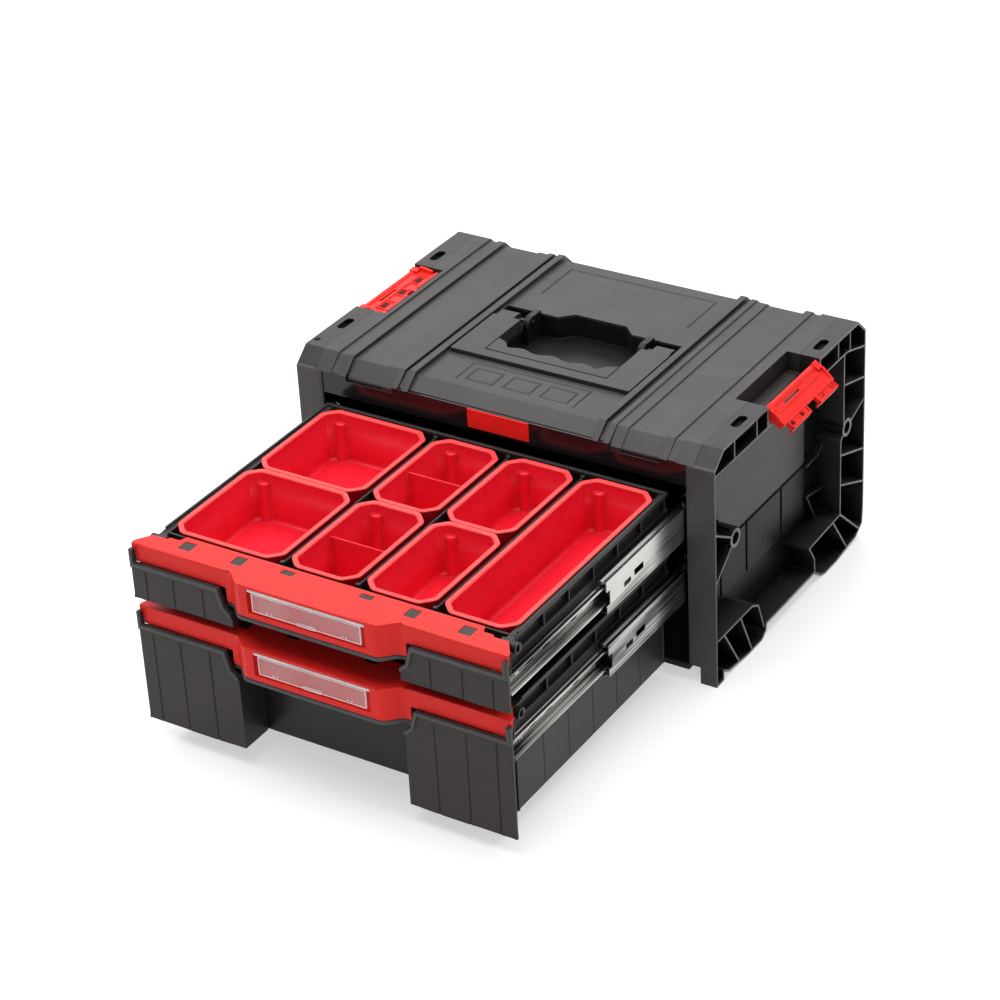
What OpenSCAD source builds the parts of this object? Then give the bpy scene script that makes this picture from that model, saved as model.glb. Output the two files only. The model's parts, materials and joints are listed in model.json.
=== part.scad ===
// Portable tool box with two telescopic drawers.
// x runs to the right, y to the back, z up. The model is drawn as it stands in use,
// with both drawers pulled out: the origin is the bottom centre of that outline.
// Inside the modules y is counted from the front face of the closed casing.

/* [Casing] */
// Width over the rims of the two side panels
case_w = 450; // [436:2:470]
// Depth from the front face to the back face
case_d = 306; // [300:1:330]
// Height over the feet
case_h = 244; // [240:1:270]
// Width of the strip that each side panel carries over the top
cap_w = 21; // [20:0.5:23]
// Depth of the ribbed recess in each side
side_depth = 26.3; // [24:0.1:30]
// Thickness of the casing walls
wall = 2.4; // [2:0.1:3]
// Thickness of the stiffening ribs
rib = 2; // [1.6:0.1:2.6]
// Run of the chamfer along the top of the front
chamfer_run = 18; // [14:0.5:24]
// Drop of the chamfers along the top of the front and the back
chamfer_drop = 15; // [12:0.5:17]
// Distance from the top down to the lower edge of the hood
hood_h = 37.5; // [36:0.5:42]
// Height of the floor plate's front lip above the ground
base_h = 17.6; // [16:0.2:18]
// Width of each front leg
leg_w = 17; // [12:0.5:22]

/* [Top panel] */
// Half width of the central panel between the ridges
panel_half = 99; // [98:0.5:103]
// Depth of the central panel below the ridges
panel_relief = 4.4; // [3:0.2:5]
// Depth of the side plateaus below the ridges
plateau_relief = 3.7; // [2.4:0.1:4.4]
// Length of each stacking slot
slot_len = 22; // [18:0.5:26]
// Width of each stacking slot
slot_w = 9; // [7:0.5:10]
// Distance between the front and the back stacking slot
slot_pitch = 164; // [156:1:170]

/* [Carry handle] */
// Width over the two arms of the handle
handle_w = 194; // [186:1:195]
// Width of each arm
arm_w = 30.4; // [26:0.2:34]
// Distance from the front face to the front of the folded handle
handle_y = 74; // [68:1:80]
// Thickness of the handle
handle_t = 13; // [11:0.2:13.4]
// Width of the handle's front bar
bar_w = 12; // [9:0.5:14]
// Distance from the front face to the handle pivot
pivot_y = 163; // [160:1:168]
// Radius of the handle pins
handle_pin_r = 1.6; // [1.2:0.1:2]
// Floor of the finger cavity below the top
cavity_h = 28; // [24:0.5:28.4]
// Gap round the folded handle
handle_gap = 0.5; // [0.3:0.1:0.8]

/* [Side latches] */
// Length of the notch that holds each latch
notch_len = 103; // [92:1:108]
// Distance from the front face to the front of the notch
notch_y = 104.5; // [100:0.5:108]
// Width of the notch, in from the side rim
notch_w = 34; // [30:0.5:37]
// Angle of the opened right latch below the horizontal
latch_angle = 32; // [20:1:40]
// Thickness of the latch plate
latch_t = 3; // [2.4:0.1:3.6]
// Radius of the latch pins
latch_pin_r = 1.5; // [1.2:0.1:1.8]

/* [Drawers] */
// Distance from one drawer to the next
drawer_pitch = 65; // [62:0.5:65]
// How far the drawers are pulled out
drawer_travel = 303; // [280:1:303]
// Thickness of the tray walls
tray_wall = 2.2; // [1.8:0.1:2.4]
// Depth of the drawer front's finger recess
front_box = 34; // [30:0.5:40]
// Half width of the gap between the two front pads
pad_gap_half = 87.5; // [84:0.5:92]
// How far the red handle section stands out of the drawer front
grip_out = 10; // [8:0.5:13]
// Thickness of the red trim
trim_t = 2.4; // [2:0.1:2.8]
// Distance between the ribs along the tray sides
tray_rib_pitch = 41.5; // [36:0.5:48]

/* [Label windows] */
// Half width of the label window
window_half = 60.5; // [54:0.5:62]
// Height of the label window
window_h = 23; // [20:0.5:25]
// Thickness of the label window
window_t = 1.2; // [1:0.1:1.4]

/* [Telescopic slides] */
// Overall thickness of a slide
slide_t = 12.7; // [12.5:0.1:13.5]
// Height of the outer rail
slide_h = 45; // [43:0.5:46]
// Distance from the front face to the fixed rails
slide_front = 12; // [11:0.5:14]
// Thickness of the rail sheet
rail_t = 1.2; // [1:0.1:1.3]
// Radius of the bearing balls
ball_r = 2.3; // [2:0.05:2.35]

/* [Bins and dividers] */
// Width of the corner chamfer of each bin
bin_corner = 12; // [9:0.5:14]
// Width of the rim flange of each bin
bin_flange = 3.6; // [3:0.1:4]
// Thickness of the bin walls
bin_wall = 1.6; // [1.2:0.1:2]
// Gap between a bin and what stands beside it
bin_gap = 0.8; // [0.5:0.1:1.2]
// Thickness of the divider plates
divider_t = 2.4; // [2:0.1:3]
// Width of the channel that each divider stands in
divider_bay = 7; // [6.4:0.1:8]

/* [Hidden] */

eps = 0.01;
$fn = 40;

// Colours, as in the photograph
shell_grey = [0.17, 0.165, 0.17];
tray_grey = [0.24, 0.235, 0.235];
signal_red = [0.86, 0.12, 0.13];
zinc = [0.78, 0.79, 0.80];
steel = [0.62, 0.63, 0.65];
clear = [0.95, 0.75, 0.75, 0.45];

// Places across the box, from the side rim inwards
rim_x = case_w / 2;
cap_x = rim_x - cap_w;
wall_x = rim_x - side_depth;
inner_x = wall_x - wall;
seat_x = inner_x - slide_t;
pad_x = inner_x - 0.8;
notch_x = rim_x - notch_w;

// Places along the box, and the shift that puts the origin under the middle
front_y = (drawer_travel + grip_out - case_d) / 2;
back_in_y = case_d - wall;
tray_end_y = back_in_y - 11;
back_run = chamfer_run - 2;

// Levels
hood_z = case_h - hood_h;
upper_top = hood_z - 2.5;
lower_top = upper_top - drawer_pitch;
upper_floor = lower_top + 11;
lower_floor = base_h + 2.4;
chamfer_z = case_h - chamfer_drop;
shell_t = panel_relief + wall;
shell_in_z = case_h - shell_t;
ledge_z = case_h - 20;
rail_drop = 36;

// Strips of the top, from the middle outwards: inner edge, outer edge, depth, lower edge at the front
ridge_w = 7;
strip_2 = panel_half + ridge_w;
strip_3 = strip_2 + 5;
strip_4 = strip_3 + 6;
strip_5 = strip_4 + 12;
strip_8 = cap_x - 18;
strip_7 = strip_8 - 9;
strip_6 = strip_7 - 8;
high_lip = hood_z + 23.5;
low_lip = hood_z + 17.5;
STRIPS = [
    [-eps, panel_half, panel_relief, high_lip],
    [panel_half, strip_2, 0, high_lip],
    [strip_2, strip_3, panel_relief - 0.4, high_lip],
    [strip_3, strip_4, 1, high_lip],
    [strip_4, strip_5, plateau_relief * 0.65, low_lip],
    [strip_5, strip_6, plateau_relief, low_lip],
    [strip_6, strip_7, 0.4, chamfer_z],
    [strip_7, strip_8, 1.8, chamfer_z],
    [strip_8, cap_x, 0, chamfer_z]
];

// Handle
handle_top = case_h - 0.6;
handle_z = handle_top - handle_t;
pocket_z = handle_z - 0.5;
pocket_x = handle_w / 2 + handle_gap;
arm_in_x = handle_w / 2 - arm_w;
pocket_end_y = pivot_y + 16;
lug_r = handle_t / 2 - 0.5;
pivot_z = handle_z + lug_r + 0.2;
bracket_out_x = arm_in_x - handle_gap;
bracket_x = bracket_out_x - 6.5;
cavity_z = case_h - cavity_h;
cavity_y = handle_y + bar_w + 2;
cavity_end_y = pivot_y + 15.5;
grip_y = handle_y + bar_w + 1.2;
pin_fit = 0.05;

// Latch
latch_y0 = notch_y + 1.5;
latch_y1 = notch_y + notch_len - 1.5;
latch_x = rim_x - 3.4;
latch_z = case_h - 6.4;
latch_len = latch_x - notch_x - 1.2;
// The open right latch reaches past the rim, so the casing stands left of the origin by half of that
latch_reach = latch_x + latch_len * cos(latch_angle) + latch_t / 2 * sin(latch_angle);
casing_mid_x = (rim_x - latch_reach) / 2;

// Slide section: each member nests in the next with a row of balls between
outer_half = slide_h / 2;
middle_half = outer_half - rail_t - 2 * ball_r - 0.2;
inner_half = middle_half - rail_t - 2 * ball_r - 0.2;
middle_x = inner_x - rail_t - 0.5;
slide_len = case_d - slide_front - 14;
SCREW_YS = [18, slide_len / 2, slide_len - 18];
inner_row_x = seat_x + 4.4;
outer_row_x = inner_x - 4.8;

// Bins
tray_in_x = seat_x - 7.2;
bay_y0 = front_box + tray_wall;
bay_y1 = tray_end_y - tray_wall;
bay_mid_y = (bay_y0 + bay_y1) / 2;
small_bin_w = 72;
divider_3 = tray_in_x - small_bin_w - bin_gap - divider_bay / 2;
divider_2 = divider_3 - small_bin_w - divider_bay;
divider_1 = divider_2 - small_bin_w - divider_bay;

// ---------------------------------------------------------------- helpers

module block(x0, x1, y0, y1, z0, z1) {
    translate([x0, y0, z0]) cube([x1 - x0, y1 - y0, z1 - z0]);
}

// Extrudes an outline drawn in (y, z) from x0 to x1
module along_x(x0, x1) {
    translate([x0, 0, 0]) rotate([90, 0, 90]) linear_extrude(x1 - x0) children();
}

// Extrudes an outline drawn in (x, z) from y0 to y1
module along_y(y0, y1) {
    translate([0, y1, 0]) rotate([90, 0, 0]) linear_extrude(y1 - y0) children();
}

module rod_x(x0, x1, y, z, r) {
    translate([x0, y, z]) rotate([0, 90, 0]) cylinder(h = x1 - x0, r = r);
}

module rod_y(x, y0, y1, z, r) {
    translate([x, y0, z]) rotate([-90, 0, 0]) cylinder(h = y1 - y0, r = r);
}

function unit(v) = v / norm(v);
function left_of(v) = [-v[1], v[0]];

// Corner b of an outline that passes a, b and c, moved by d to the left of its sides
function mitred(a, b, c, d) = let (
    u = left_of(unit(b - a)),
    v = left_of(unit(c - b))
) b + (u + v) * d / (1 + u * v);

// The same closed outline, drawn in by d with sharp corners
function drawn_in(points, d) = let (n = len(points))
    [for (i = [0 : n - 1]) mitred(points[(i + n - 1) % n], points[i], points[(i + 1) % n], d)];

// Arc of radius r in place of corner b, between a and c
function bend(a, b, c, r) = let (
    u = unit(a - b),
    v = unit(c - b),
    half = acos(u * v) / 2,
    centre = b + unit(u + v) * r / sin(half),
    from = b + u * r / tan(half) - centre,
    to = b + v * r / tan(half) - centre,
    start = atan2(from[1], from[0]),
    turn = atan2(from[0] * to[1] - from[1] * to[0], from * to),
    n = 6
) [for (i = [0 : n]) centre + r * [cos(start + turn * i / n), sin(start + turn * i / n)]];

module both_sides() {
    children();
    mirror([1, 0, 0]) children();
}

module casing_place() {
    translate([casing_mid_x, front_y, 0]) children();
}

module drawer_place() {
    translate([casing_mid_x, front_y - drawer_travel, 0]) children();
}

module middle_place() {
    translate([casing_mid_x, front_y - drawer_travel / 2, 0]) children();
}

// The left one of two like parts that are already in place
module left_one() {
    translate([2 * casing_mid_x, 0, 0]) mirror([1, 0, 0]) children();
}

// ---------------------------------------------------------------- top shell

// Outline of the top in (y, z), drawn in by r from the outer skin
front_slope = chamfer_drop / chamfer_run;
back_slope = chamfer_drop / back_run;
function front_drop(r) = front_slope * r - r * norm([1, front_slope]);
function front_run(r) = (chamfer_drop - r + r * norm([1, front_slope])) / front_slope;
function back_drop(r) = back_slope * r - r * norm([1, back_slope]);
function back_in(r) = (chamfer_drop - r + r * norm([1, back_slope])) / back_slope;

module top_section(r, lip) {
    polygon([
        [r, lip],
        [r, max(lip, chamfer_z + front_drop(r))],
        [front_run(r), case_h - r],
        [case_d - back_in(r), case_h - r],
        [case_d - r, chamfer_z + back_drop(r)],
        [case_d - r, chamfer_z - 7],
        [case_d - shell_t, chamfer_z - 7],
        [case_d - shell_t, chamfer_z + back_drop(shell_t)],
        [case_d - back_in(shell_t), shell_in_z],
        [front_run(shell_t), shell_in_z],
        [shell_t, chamfer_z + front_drop(shell_t)],
        [shell_t, lip]
    ]);
}

module shell_strips() {
    for (s = STRIPS) {
        both_sides() along_x(s[0], s[1]) top_section(s[2], s[3]);
    }
}

// Outline of the finger cavity in plan, grown by g
module cavity_outline(g) {
    polygon([
        [-arm_in_x - g, cavity_y - g],
        [arm_in_x + g, cavity_y - g],
        [arm_in_x + g, cavity_end_y + g],
        [41 + g / 2, cavity_end_y + g],
        [28 + g / 2, cavity_end_y + 12.5 + g],
        [-28 - g / 2, cavity_end_y + 12.5 + g],
        [-41 - g / 2, cavity_end_y + g],
        [-arm_in_x - g, cavity_end_y + g]
    ]);
}

// Ear beside the cavity that carries the inner end of a handle pin
module pin_bracket() {
    block(bracket_x, bracket_out_x, pivot_y - 10, cavity_end_y - 0.2, cavity_z - eps, pivot_z - 3.2);
    block(bracket_x, bracket_out_x, pivot_y, cavity_end_y - 0.2, cavity_z - eps, case_h - 1);
    rod_x(bracket_x, bracket_out_x, pivot_y, pivot_z - 3.2, 10);
}

module top_shell() {
    color(shell_grey) casing_place() difference() {
        union() {
            shell_strips();
            both_sides() block(notch_x - wall, cap_x, notch_y - wall, notch_y + notch_len + wall,
                ledge_z - wall, shell_in_z + eps);
        }
        handle_pocket();
        both_sides() block(notch_x, cap_x + 1, notch_y, notch_y + notch_len, ledge_z, case_h + 1);
        handle_pin_bores();
        top_grooves();
    }
}

// Walls and floor of the handle's pocket and finger cavity, under the skin of the top
module handle_housing() {
    color(shell_grey) casing_place() difference() {
        union() {
            difference() {
                union() {
                    block(-pocket_x - wall, pocket_x + wall,
                        handle_y - handle_gap - wall, pocket_end_y + wall, pocket_z - wall, shell_in_z);
                    translate([0, 0, cavity_z - wall]) linear_extrude(shell_in_z - cavity_z + wall)
                        cavity_outline(wall);
                }
                handle_pocket();
            }
            both_sides() pin_bracket();
        }
        handle_pin_bores();
    }
}

module handle_pocket() {
    block(-pocket_x, pocket_x, handle_y - handle_gap, cavity_y + eps, pocket_z, case_h + 1);
    both_sides() block(arm_in_x - handle_gap, pocket_x, cavity_y, pocket_end_y, pocket_z, case_h + 1);
    translate([0, 0, cavity_z]) linear_extrude(cavity_h + 1) cavity_outline(0);
}

module handle_pin_bores() {
    both_sides() rod_x(bracket_x - 1, pocket_x + 1.6, pivot_y, pivot_z, handle_pin_r + pin_fit);
}

// Thin frame lines on the central panel
module top_grooves() {
    frame_z = case_h - panel_relief - 0.7;
    line = 1.6;
    frame_top = case_d - 34;
    block(-82, 82, frame_top, frame_top + line, frame_z, case_h + 1);
    both_sides() block(82 - line, 82, frame_top - 58, frame_top, frame_z, case_h + 1);
    block(-64, 64, handle_y - 11, handle_y - 11 + line, frame_z, case_h + 1);
    both_sides() block(64 - line, 64, handle_y - 44, handle_y - 11, frame_z, case_h + 1);
    for (x = [-40, 0, 40]) {
        difference() {
            block(x - 15, x + 15, handle_y - 41, handle_y - 18, frame_z, case_h + 1);
            block(x - 15 + line, x + 15 - line, handle_y - 41 + line, handle_y - 18 - line,
                frame_z - 1, case_h + 2);
        }
    }
}

// ---------------------------------------------------------------- side panels

// Rib centred on the line from p to q in (y, z)
module rib_plate(p, q, x0, x1) {
    d = q - p;
    n = [-d[1], d[0]] / norm(d) * rib / 2;
    along_x(x0, x1) polygon([p - n, q - n, q + n, p + n]);
}

// Outline of a side, from the front leg along the bottom and up the back
mid_rim_z = 13;
SIDE = [
    [0, 0], [15, 0], [15, 9], [24, 4], [62, 0], [90, 0], [99, 6], [100, mid_rim_z],
    [case_d - 108, mid_rim_z], [case_d - 94, 3], [case_d - 84, 0], [case_d - 60, 0],
    [case_d - 16, 5], [case_d - 2, 14], [case_d, 34], [case_d, chamfer_z],
    [case_d - back_run, case_h], [chamfer_run, case_h], [0, chamfer_z]
];

side_boss_r = 9.5;
side_bore_r = 6;
side_boss_z = 141;
SIDE_BOSS_YS = [39, case_d - 39];

// Inner frame of the recess and the ribs that tie it to the rim
frame_back_y = case_d - 52;
plateau_end_y = case_d - 85;
plateau_mid_z = 116;
ledge_rib_z = ledge_z - rib / 2;
RIBS = [
    [[wall, ledge_rib_z], [case_d - 39, ledge_rib_z]],
    [[case_d - 39, ledge_rib_z], [case_d - 2, ledge_z - 12]],
    [[wall, 49], [71, 49]],
    [[71, 49], [83, 43]],
    [[83, 43], [94, mid_rim_z]],
    [[case_d - 106, mid_rim_z], [case_d - 107, 30]],
    [[case_d - 107, 30], [case_d - 118, 47]],
    [[case_d - 118, 47], [frame_back_y, 50]],
    [[frame_back_y, 50], [frame_back_y, side_boss_z - 9]],
    [[frame_back_y, side_boss_z - 9], [frame_back_y + 7, side_boss_z - 3]],
    [[frame_back_y + 6, side_boss_z + 6], [frame_back_y + 6, ledge_rib_z]],
    [[frame_back_y, plateau_mid_z], [case_d - 1, 99]],
    [[frame_back_y, 83], [case_d - 1, 62]],
    [[frame_back_y + 6, 190], [case_d - 1, 178]],
    [[case_d - 68, 50], [case_d - 36, 4]],
    [[frame_back_y, 50], [case_d - 10, 12]],
    [[16, 49], [44, 4]],
    [[48, 49], [70, 1]],
    [[39, ledge_rib_z], [39, case_h - 1]],
    [[82, ledge_rib_z], [82, case_h - 1]],
    [[case_d - 59, ledge_rib_z], [case_d - 59, case_h - 1]],
    [[case_d - 34, ledge_z - 3], [case_d - 34, case_h - 1]],
    [[1, side_boss_z - 30], [39, side_boss_z]],
    [[1, side_boss_z + 22], [39, side_boss_z]],
    [[SIDE_BOSS_YS[1], side_boss_z], [case_d - 1, side_boss_z + 14]]
];

// Low ribs on the floor of the recess, behind its plateau
LOW_RIBS = [
    [[plateau_end_y - 1, plateau_mid_z], [frame_back_y - 9, plateau_mid_z + 1]],
    [[frame_back_y - 9, plateau_mid_z + 1], [frame_back_y, plateau_mid_z + 8]],
    [[plateau_end_y, 82], [case_d - 68, 50]],
    [[plateau_end_y + 2, 82], [frame_back_y, 76]]
];

module side_outline_band() {
    difference() {
        polygon(SIDE);
        polygon(drawn_in(SIDE, wall));
    }
}

// Inner wall of the recess: the whole side, less what the top shell covers
module side_wall() {
    lip = chamfer_z - 7;
    along_x(inner_x, wall_x) polygon(concat(
        [for (p = SIDE) if (p[1] < chamfer_z) p],
        [
            [case_d, lip], [case_d - shell_t, lip], [case_d - shell_t, chamfer_z + back_drop(shell_t)],
            [case_d - back_in(shell_t), shell_in_z], [front_run(shell_t), shell_in_z],
            [shell_t, chamfer_z + front_drop(shell_t)], [shell_t, chamfer_z], [0, chamfer_z]
        ]
    ));
}

// Plateau on that wall, with a joint line along it and two down from it
plateau_t = 3.4;
module side_plateau() {
    x1 = wall_x + plateau_t;
    x0 = x1 - 1.8;
    line = 1.8;
    difference() {
        block(wall_x - eps, x1, 18, plateau_end_y, 62, ledge_z - rib);
        block(x0, x1 + 1, 46, plateau_end_y + 1, plateau_mid_z, plateau_mid_z + 3.4);
        for (y = [52, 103, 173]) block(x0, x1 + 1, y - line, y + line, 61, plateau_mid_z + eps);
        for (y = SIDE_BOSS_YS) rod_x(wall_x, x1 + 1, y, side_boss_z, side_boss_r + 2);
    }
}

// Room that the top shell's latch notch takes in the wall and under the cap
module notch_room() {
    c = 0.05;
    room_y0 = notch_y - wall - c;
    room_y1 = notch_y + notch_len + wall + c;
    block(inner_x - 1, cap_x, room_y0, room_y1, ledge_z - wall - c, case_h + 1);
}

module right_panel_solid() {
    difference() {
        union() {
            side_wall();
            side_plateau();
        }
        notch_room();
        block(inner_x - 1, rim_x - leg_w, -1, SIDE[1][0], -1, base_h);
        rail_screw_holes();
    }
}

// Rim, ribs and feet that stand out from the wall
module right_rim_solid() {
    difference() {
        union() {
            along_x(wall_x, rim_x) side_outline_band();
            for (r = RIBS) rib_plate(r[0], r[1], wall_x, rim_x);
            for (r = LOW_RIBS) rib_plate(r[0], r[1], wall_x, wall_x + 7);
            notch_ends();
        }
        // Room for the top shell inside the cap
        block(wall_x - 1, cap_x, -1, case_d - shell_t, chamfer_z, case_h + 1);
        block(wall_x - 1, cap_x, case_d - shell_t - eps, case_d + 1, chamfer_z - 7, case_h + 1);
        notch_room();
        block(cap_x - 1, rim_x + 1, notch_y, notch_y + notch_len, ledge_z, case_h + 1);
        for (y = slot_ys()) slot_cut(y);
        for (y = SIDE_BOSS_YS) rod_x(wall_x - 1, rim_x + 1, y, side_boss_z, side_boss_r + 0.02);
        block(wall_x - 1, rim_x - leg_w, -1, SIDE[1][0], -1, base_h);
        latch_pin_bore();
        // The plateau fills the foot of these ribs
        block(wall_x - 1, wall_x + plateau_t, 18, plateau_end_y, 62, ledge_z - rib);
    }
}

// Open tubes with small fins, turned clear of the ribs
module right_tubes_solid() {
    fin = 1.2;
    fin_r = side_boss_r + 3;
    for (y = SIDE_BOSS_YS) difference() {
        turn = y < case_d / 2 ? 20 : 70;
        union() {
            rod_x(wall_x, rim_x, y, side_boss_z, side_boss_r);
            for (a = [turn, turn + 90]) translate([0, y, side_boss_z]) rotate([a, 0, 0])
                block(wall_x + plateau_t + 0.3, rim_x - 3, -fin_r, fin_r, -fin / 2, fin / 2);
        }
        rod_x(wall_x + 3, rim_x + 1, y, side_boss_z, side_bore_r);
    }
}

function slot_mid_y() = case_d / 2 - 2;
function slot_ys() = [slot_mid_y() - slot_pitch / 2, slot_mid_y() + slot_pitch / 2];
slot_x = cap_x + 9.5;

module slot_cut(y) {
    translate([slot_x, y, case_h - wall - 1]) linear_extrude(wall + 2) union() {
        square([slot_w, slot_len - slot_w], center = true);
        translate([0, (slot_len - slot_w) / 2]) circle(d = slot_w);
        translate([0, -(slot_len - slot_w) / 2]) circle(d = slot_w);
    }
}

// Walls at the two ends of the latch notch; they carry the latch pin
module notch_ends() {
    for (y = [notch_y - wall, notch_y + notch_len]) {
        block(cap_x, rim_x, y, y + wall, ledge_rib_z, case_h - wall + eps);
    }
}

module latch_pin_bore() {
    rod_y(latch_x, notch_y - wall - 1, notch_y + notch_len + wall + 1, latch_z, latch_pin_r + pin_fit);
}

module rail_screw_holes() {
    for (z = [upper_top - rail_drop, lower_top - rail_drop]) {
        for (y = SCREW_YS) rod_x(inner_x - 1, wall_x + 1, slide_front + y, z, 1.55);
    }
}

module right_side_panel() {
    color(shell_grey) casing_place() right_panel_solid();
}

module left_side_panel() {
    color(shell_grey) casing_place() mirror([1, 0, 0]) right_panel_solid();
}

module right_side_rim() {
    color(shell_grey) casing_place() right_rim_solid();
}

module left_side_rim() {
    color(shell_grey) casing_place() mirror([1, 0, 0]) right_rim_solid();
}

module right_tube_bosses() {
    color(shell_grey) casing_place() right_tubes_solid();
}

module left_tube_bosses() {
    color(shell_grey) casing_place() mirror([1, 0, 0]) right_tubes_solid();
}

// ---------------------------------------------------------------- back, base, front bar

module back_panel() {
    color(shell_grey) casing_place() {
        block(-inner_x, inner_x, back_in_y, case_d, base_h - 6, chamfer_z - 7);
        for (x = [-150, -90, 90, 150]) {
            block(x - rib / 2, x + rib / 2, back_in_y - 4, back_in_y + eps, base_h + 6, hood_z - 6);
        }
    }
}

module base_panel() {
    plate_z = base_h - 6;
    color(shell_grey) casing_place() {
        block(-inner_x, inner_x, 0, back_in_y, plate_z, plate_z + wall);
        block(-inner_x, inner_x, 0, wall, plate_z, base_h);
        for (i = [-4 : 4]) {
            x = i * inner_x / 5;
            block(x - rib / 2, x + rib / 2, wall, back_in_y - 1, plate_z - 4, plate_z + eps);
        }
        for (i = [1 : 4]) {
            y = i * case_d / 5;
            block(-0.86 * inner_x, 0.86 * inner_x, y - rib / 2, y + rib / 2, plate_z - 4, plate_z + eps);
        }
    }
}

// Dark bar under the hood, tied to the underside of the top
module front_crossbar() {
    y0 = badge_t;
    color([0.09, 0.08, 0.085]) casing_place() {
        block(-inner_x, inner_x, y0, y0 + wall, hood_z, low_lip);
        block(-strip_4, strip_4, y0, y0 + wall, low_lip - eps, high_lip);
        both_sides() block(strip_6, inner_x, y0, y0 + wall, low_lip - eps, chamfer_z);
        block(-inner_x, inner_x, y0, 12, hood_z, hood_z + wall);
        for (x = [-160, -112, -60, 60, 112, 160]) {
            block(x - rib / 2, x + rib / 2, y0, 12, hood_z, low_lip);
            block(x - rib / 2, x + rib / 2, shell_t, 12, low_lip - eps, chamfer_z + front_drop(shell_t));
        }
    }
}

badge_half = 33;
badge_t = 1.4;
badge_low = 4;
badge_h = 19;
module badge_plate() {
    color(signal_red) casing_place()
        block(-badge_half, badge_half, 0, badge_t, hood_z + badge_low, hood_z + badge_low + badge_h);
}

// ---------------------------------------------------------------- handle

module handle_pins() {
    color(steel) casing_place() both_sides() {
        rod_x(bracket_x - 0.8, pocket_x + 1.4, pivot_y, pivot_z, handle_pin_r);
        rod_x(bracket_x - 1.2, bracket_x, pivot_y, pivot_z, handle_pin_r + 1);
    }
}

module carry_handle() {
    lug_x0 = arm_in_x + 9;
    lug_x1 = handle_w / 2 - 2;
    arm_end_y = pivot_y - 11;
    color(shell_grey) casing_place() difference() {
        union() {
            block(-handle_w / 2, handle_w / 2, handle_y, handle_y + bar_w, handle_z, handle_top);
            both_sides() block(arm_in_x, handle_w / 2, handle_y, arm_end_y, handle_z, handle_top);
            both_sides() block(lug_x0, lug_x1, arm_end_y - eps, pivot_y, pivot_z - lug_r, pivot_z + lug_r);
            both_sides() rod_x(lug_x0, lug_x1, pivot_y, pivot_z, lug_r);
            // Tongue under the grip
            block(-arm_in_x - eps, arm_in_x + eps, handle_y + bar_w - eps, grip_y + 5,
                handle_z, handle_z + 4);
        }
        both_sides() rod_x(lug_x0 - 1, lug_x1 + 1, pivot_y, pivot_z, handle_pin_r + pin_fit);
        both_sides() block(arm_in_x + 4, handle_w / 2 - 4, handle_y + 16, arm_end_y - 8,
            handle_z - 1, handle_z + 8);
    }
}

// Finger waves of the grip: distance from its front edge at x
grip_mean = 12.4;
grip_wave = 2.2;
finger_pitch = 34;
grip_heel = 9;
function lift(t) = t <= 0 ? 0 : t >= 1 ? 1 : t * t * (3 - 2 * t);
function grip_depth(x) = grip_mean + grip_wave * cos(360 * x / finger_pitch)
    + grip_heel * lift((abs(x) - arm_in_x + 20) / 10);

module handle_grip() {
    end_x = arm_in_x - 1;
    steps = 64;
    color(shell_grey) casing_place() translate([0, grip_y, handle_z + 4])
        linear_extrude(handle_t - 4) polygon(concat(
            [[end_x, 0], [-end_x, 0]],
            [for (i = [0 : steps]) let (x = -end_x + 2 * end_x * i / steps) [x, grip_depth(x)]]
        ));
}

// ---------------------------------------------------------------- latches

module latch_pins() {
    color(steel) casing_place() both_sides()
        rod_y(latch_x, notch_y - wall, notch_y + notch_len + wall, latch_z, latch_pin_r);
}

// Latch drawn flat, reaching out from its barrel along +x
module latch_flat() {
    barrel = latch_pin_r + 1.9;
    tab = 36;
    tab_y = 5;
    lip = 6.2;
    body = latch_len - 8;
    difference() {
        union() {
            rod_y(0, latch_y0, latch_y1, 0, barrel);
            block(0, body, latch_y0, latch_y1, -latch_t / 2, latch_t / 2);
            for (y = [latch_y0 + tab_y, latch_y1 - tab_y - tab]) {
                block(body - 1, latch_len, y, y + tab, -latch_t / 2, latch_t / 2);
                block(latch_len - 2.4, latch_len, y, y + tab, -lip, latch_t / 2);
                for (i = [0 : 2]) {
                    block(body + 1.2, latch_len - 3.4, y + 8 + 10 * i, y + 10.4 + 10 * i,
                        latch_t / 2 - eps, latch_t / 2 + 0.9);
                }
            }
            for (y = [latch_y0, latch_y1 - latch_t]) {
                along_y(y, y + latch_t) polygon([
                    [0, 0], [2, barrel + 0.7], [8, barrel + 0.9], [body - 1, latch_t / 2],
                    [body - 1, -4.6], [10, -lip], [5.5, -lip], [4.5, 0.7 - lip]
                ]);
            }
        }
        rod_y(0, latch_y0 - 1, latch_y1 + 1, 0, latch_pin_r + pin_fit);
        block(barrel + 1.2, barrel + 3.6, latch_y0 + 25, latch_y0 + 54, -latch_t, latch_t);
        block(body + 0.6, latch_len + 1, latch_y0 + tab_y + tab, latch_y1 - tab_y - tab, -8, latch_t);
    }
}

module latch_at(angle) {
    translate([latch_x, 0, latch_z]) rotate([0, angle, 0]) latch_flat();
}

// As in the photograph, the right latch stands open and the left one lies folded in its notch
module right_latch() {
    color(signal_red) casing_place() latch_at(latch_angle);
}

module left_latch() {
    color(signal_red) casing_place() mirror([1, 0, 0]) latch_at(-180);
}

// ---------------------------------------------------------------- slides

// Shallow ball groove across a flange: points from x + w to x - w, dented to z + d
function groove(x, z, d) = let (w = 1.5) [[x + w, z], [x + w * 0.5, z + d], [x - w * 0.5, z + d], [x - w, z]];
function backwards(list) = [for (i = [len(list) - 1 : -1 : 0]) list[i]];
function upside_down(list) = [for (p = backwards(list)) [p[0], -p[1]]];

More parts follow.
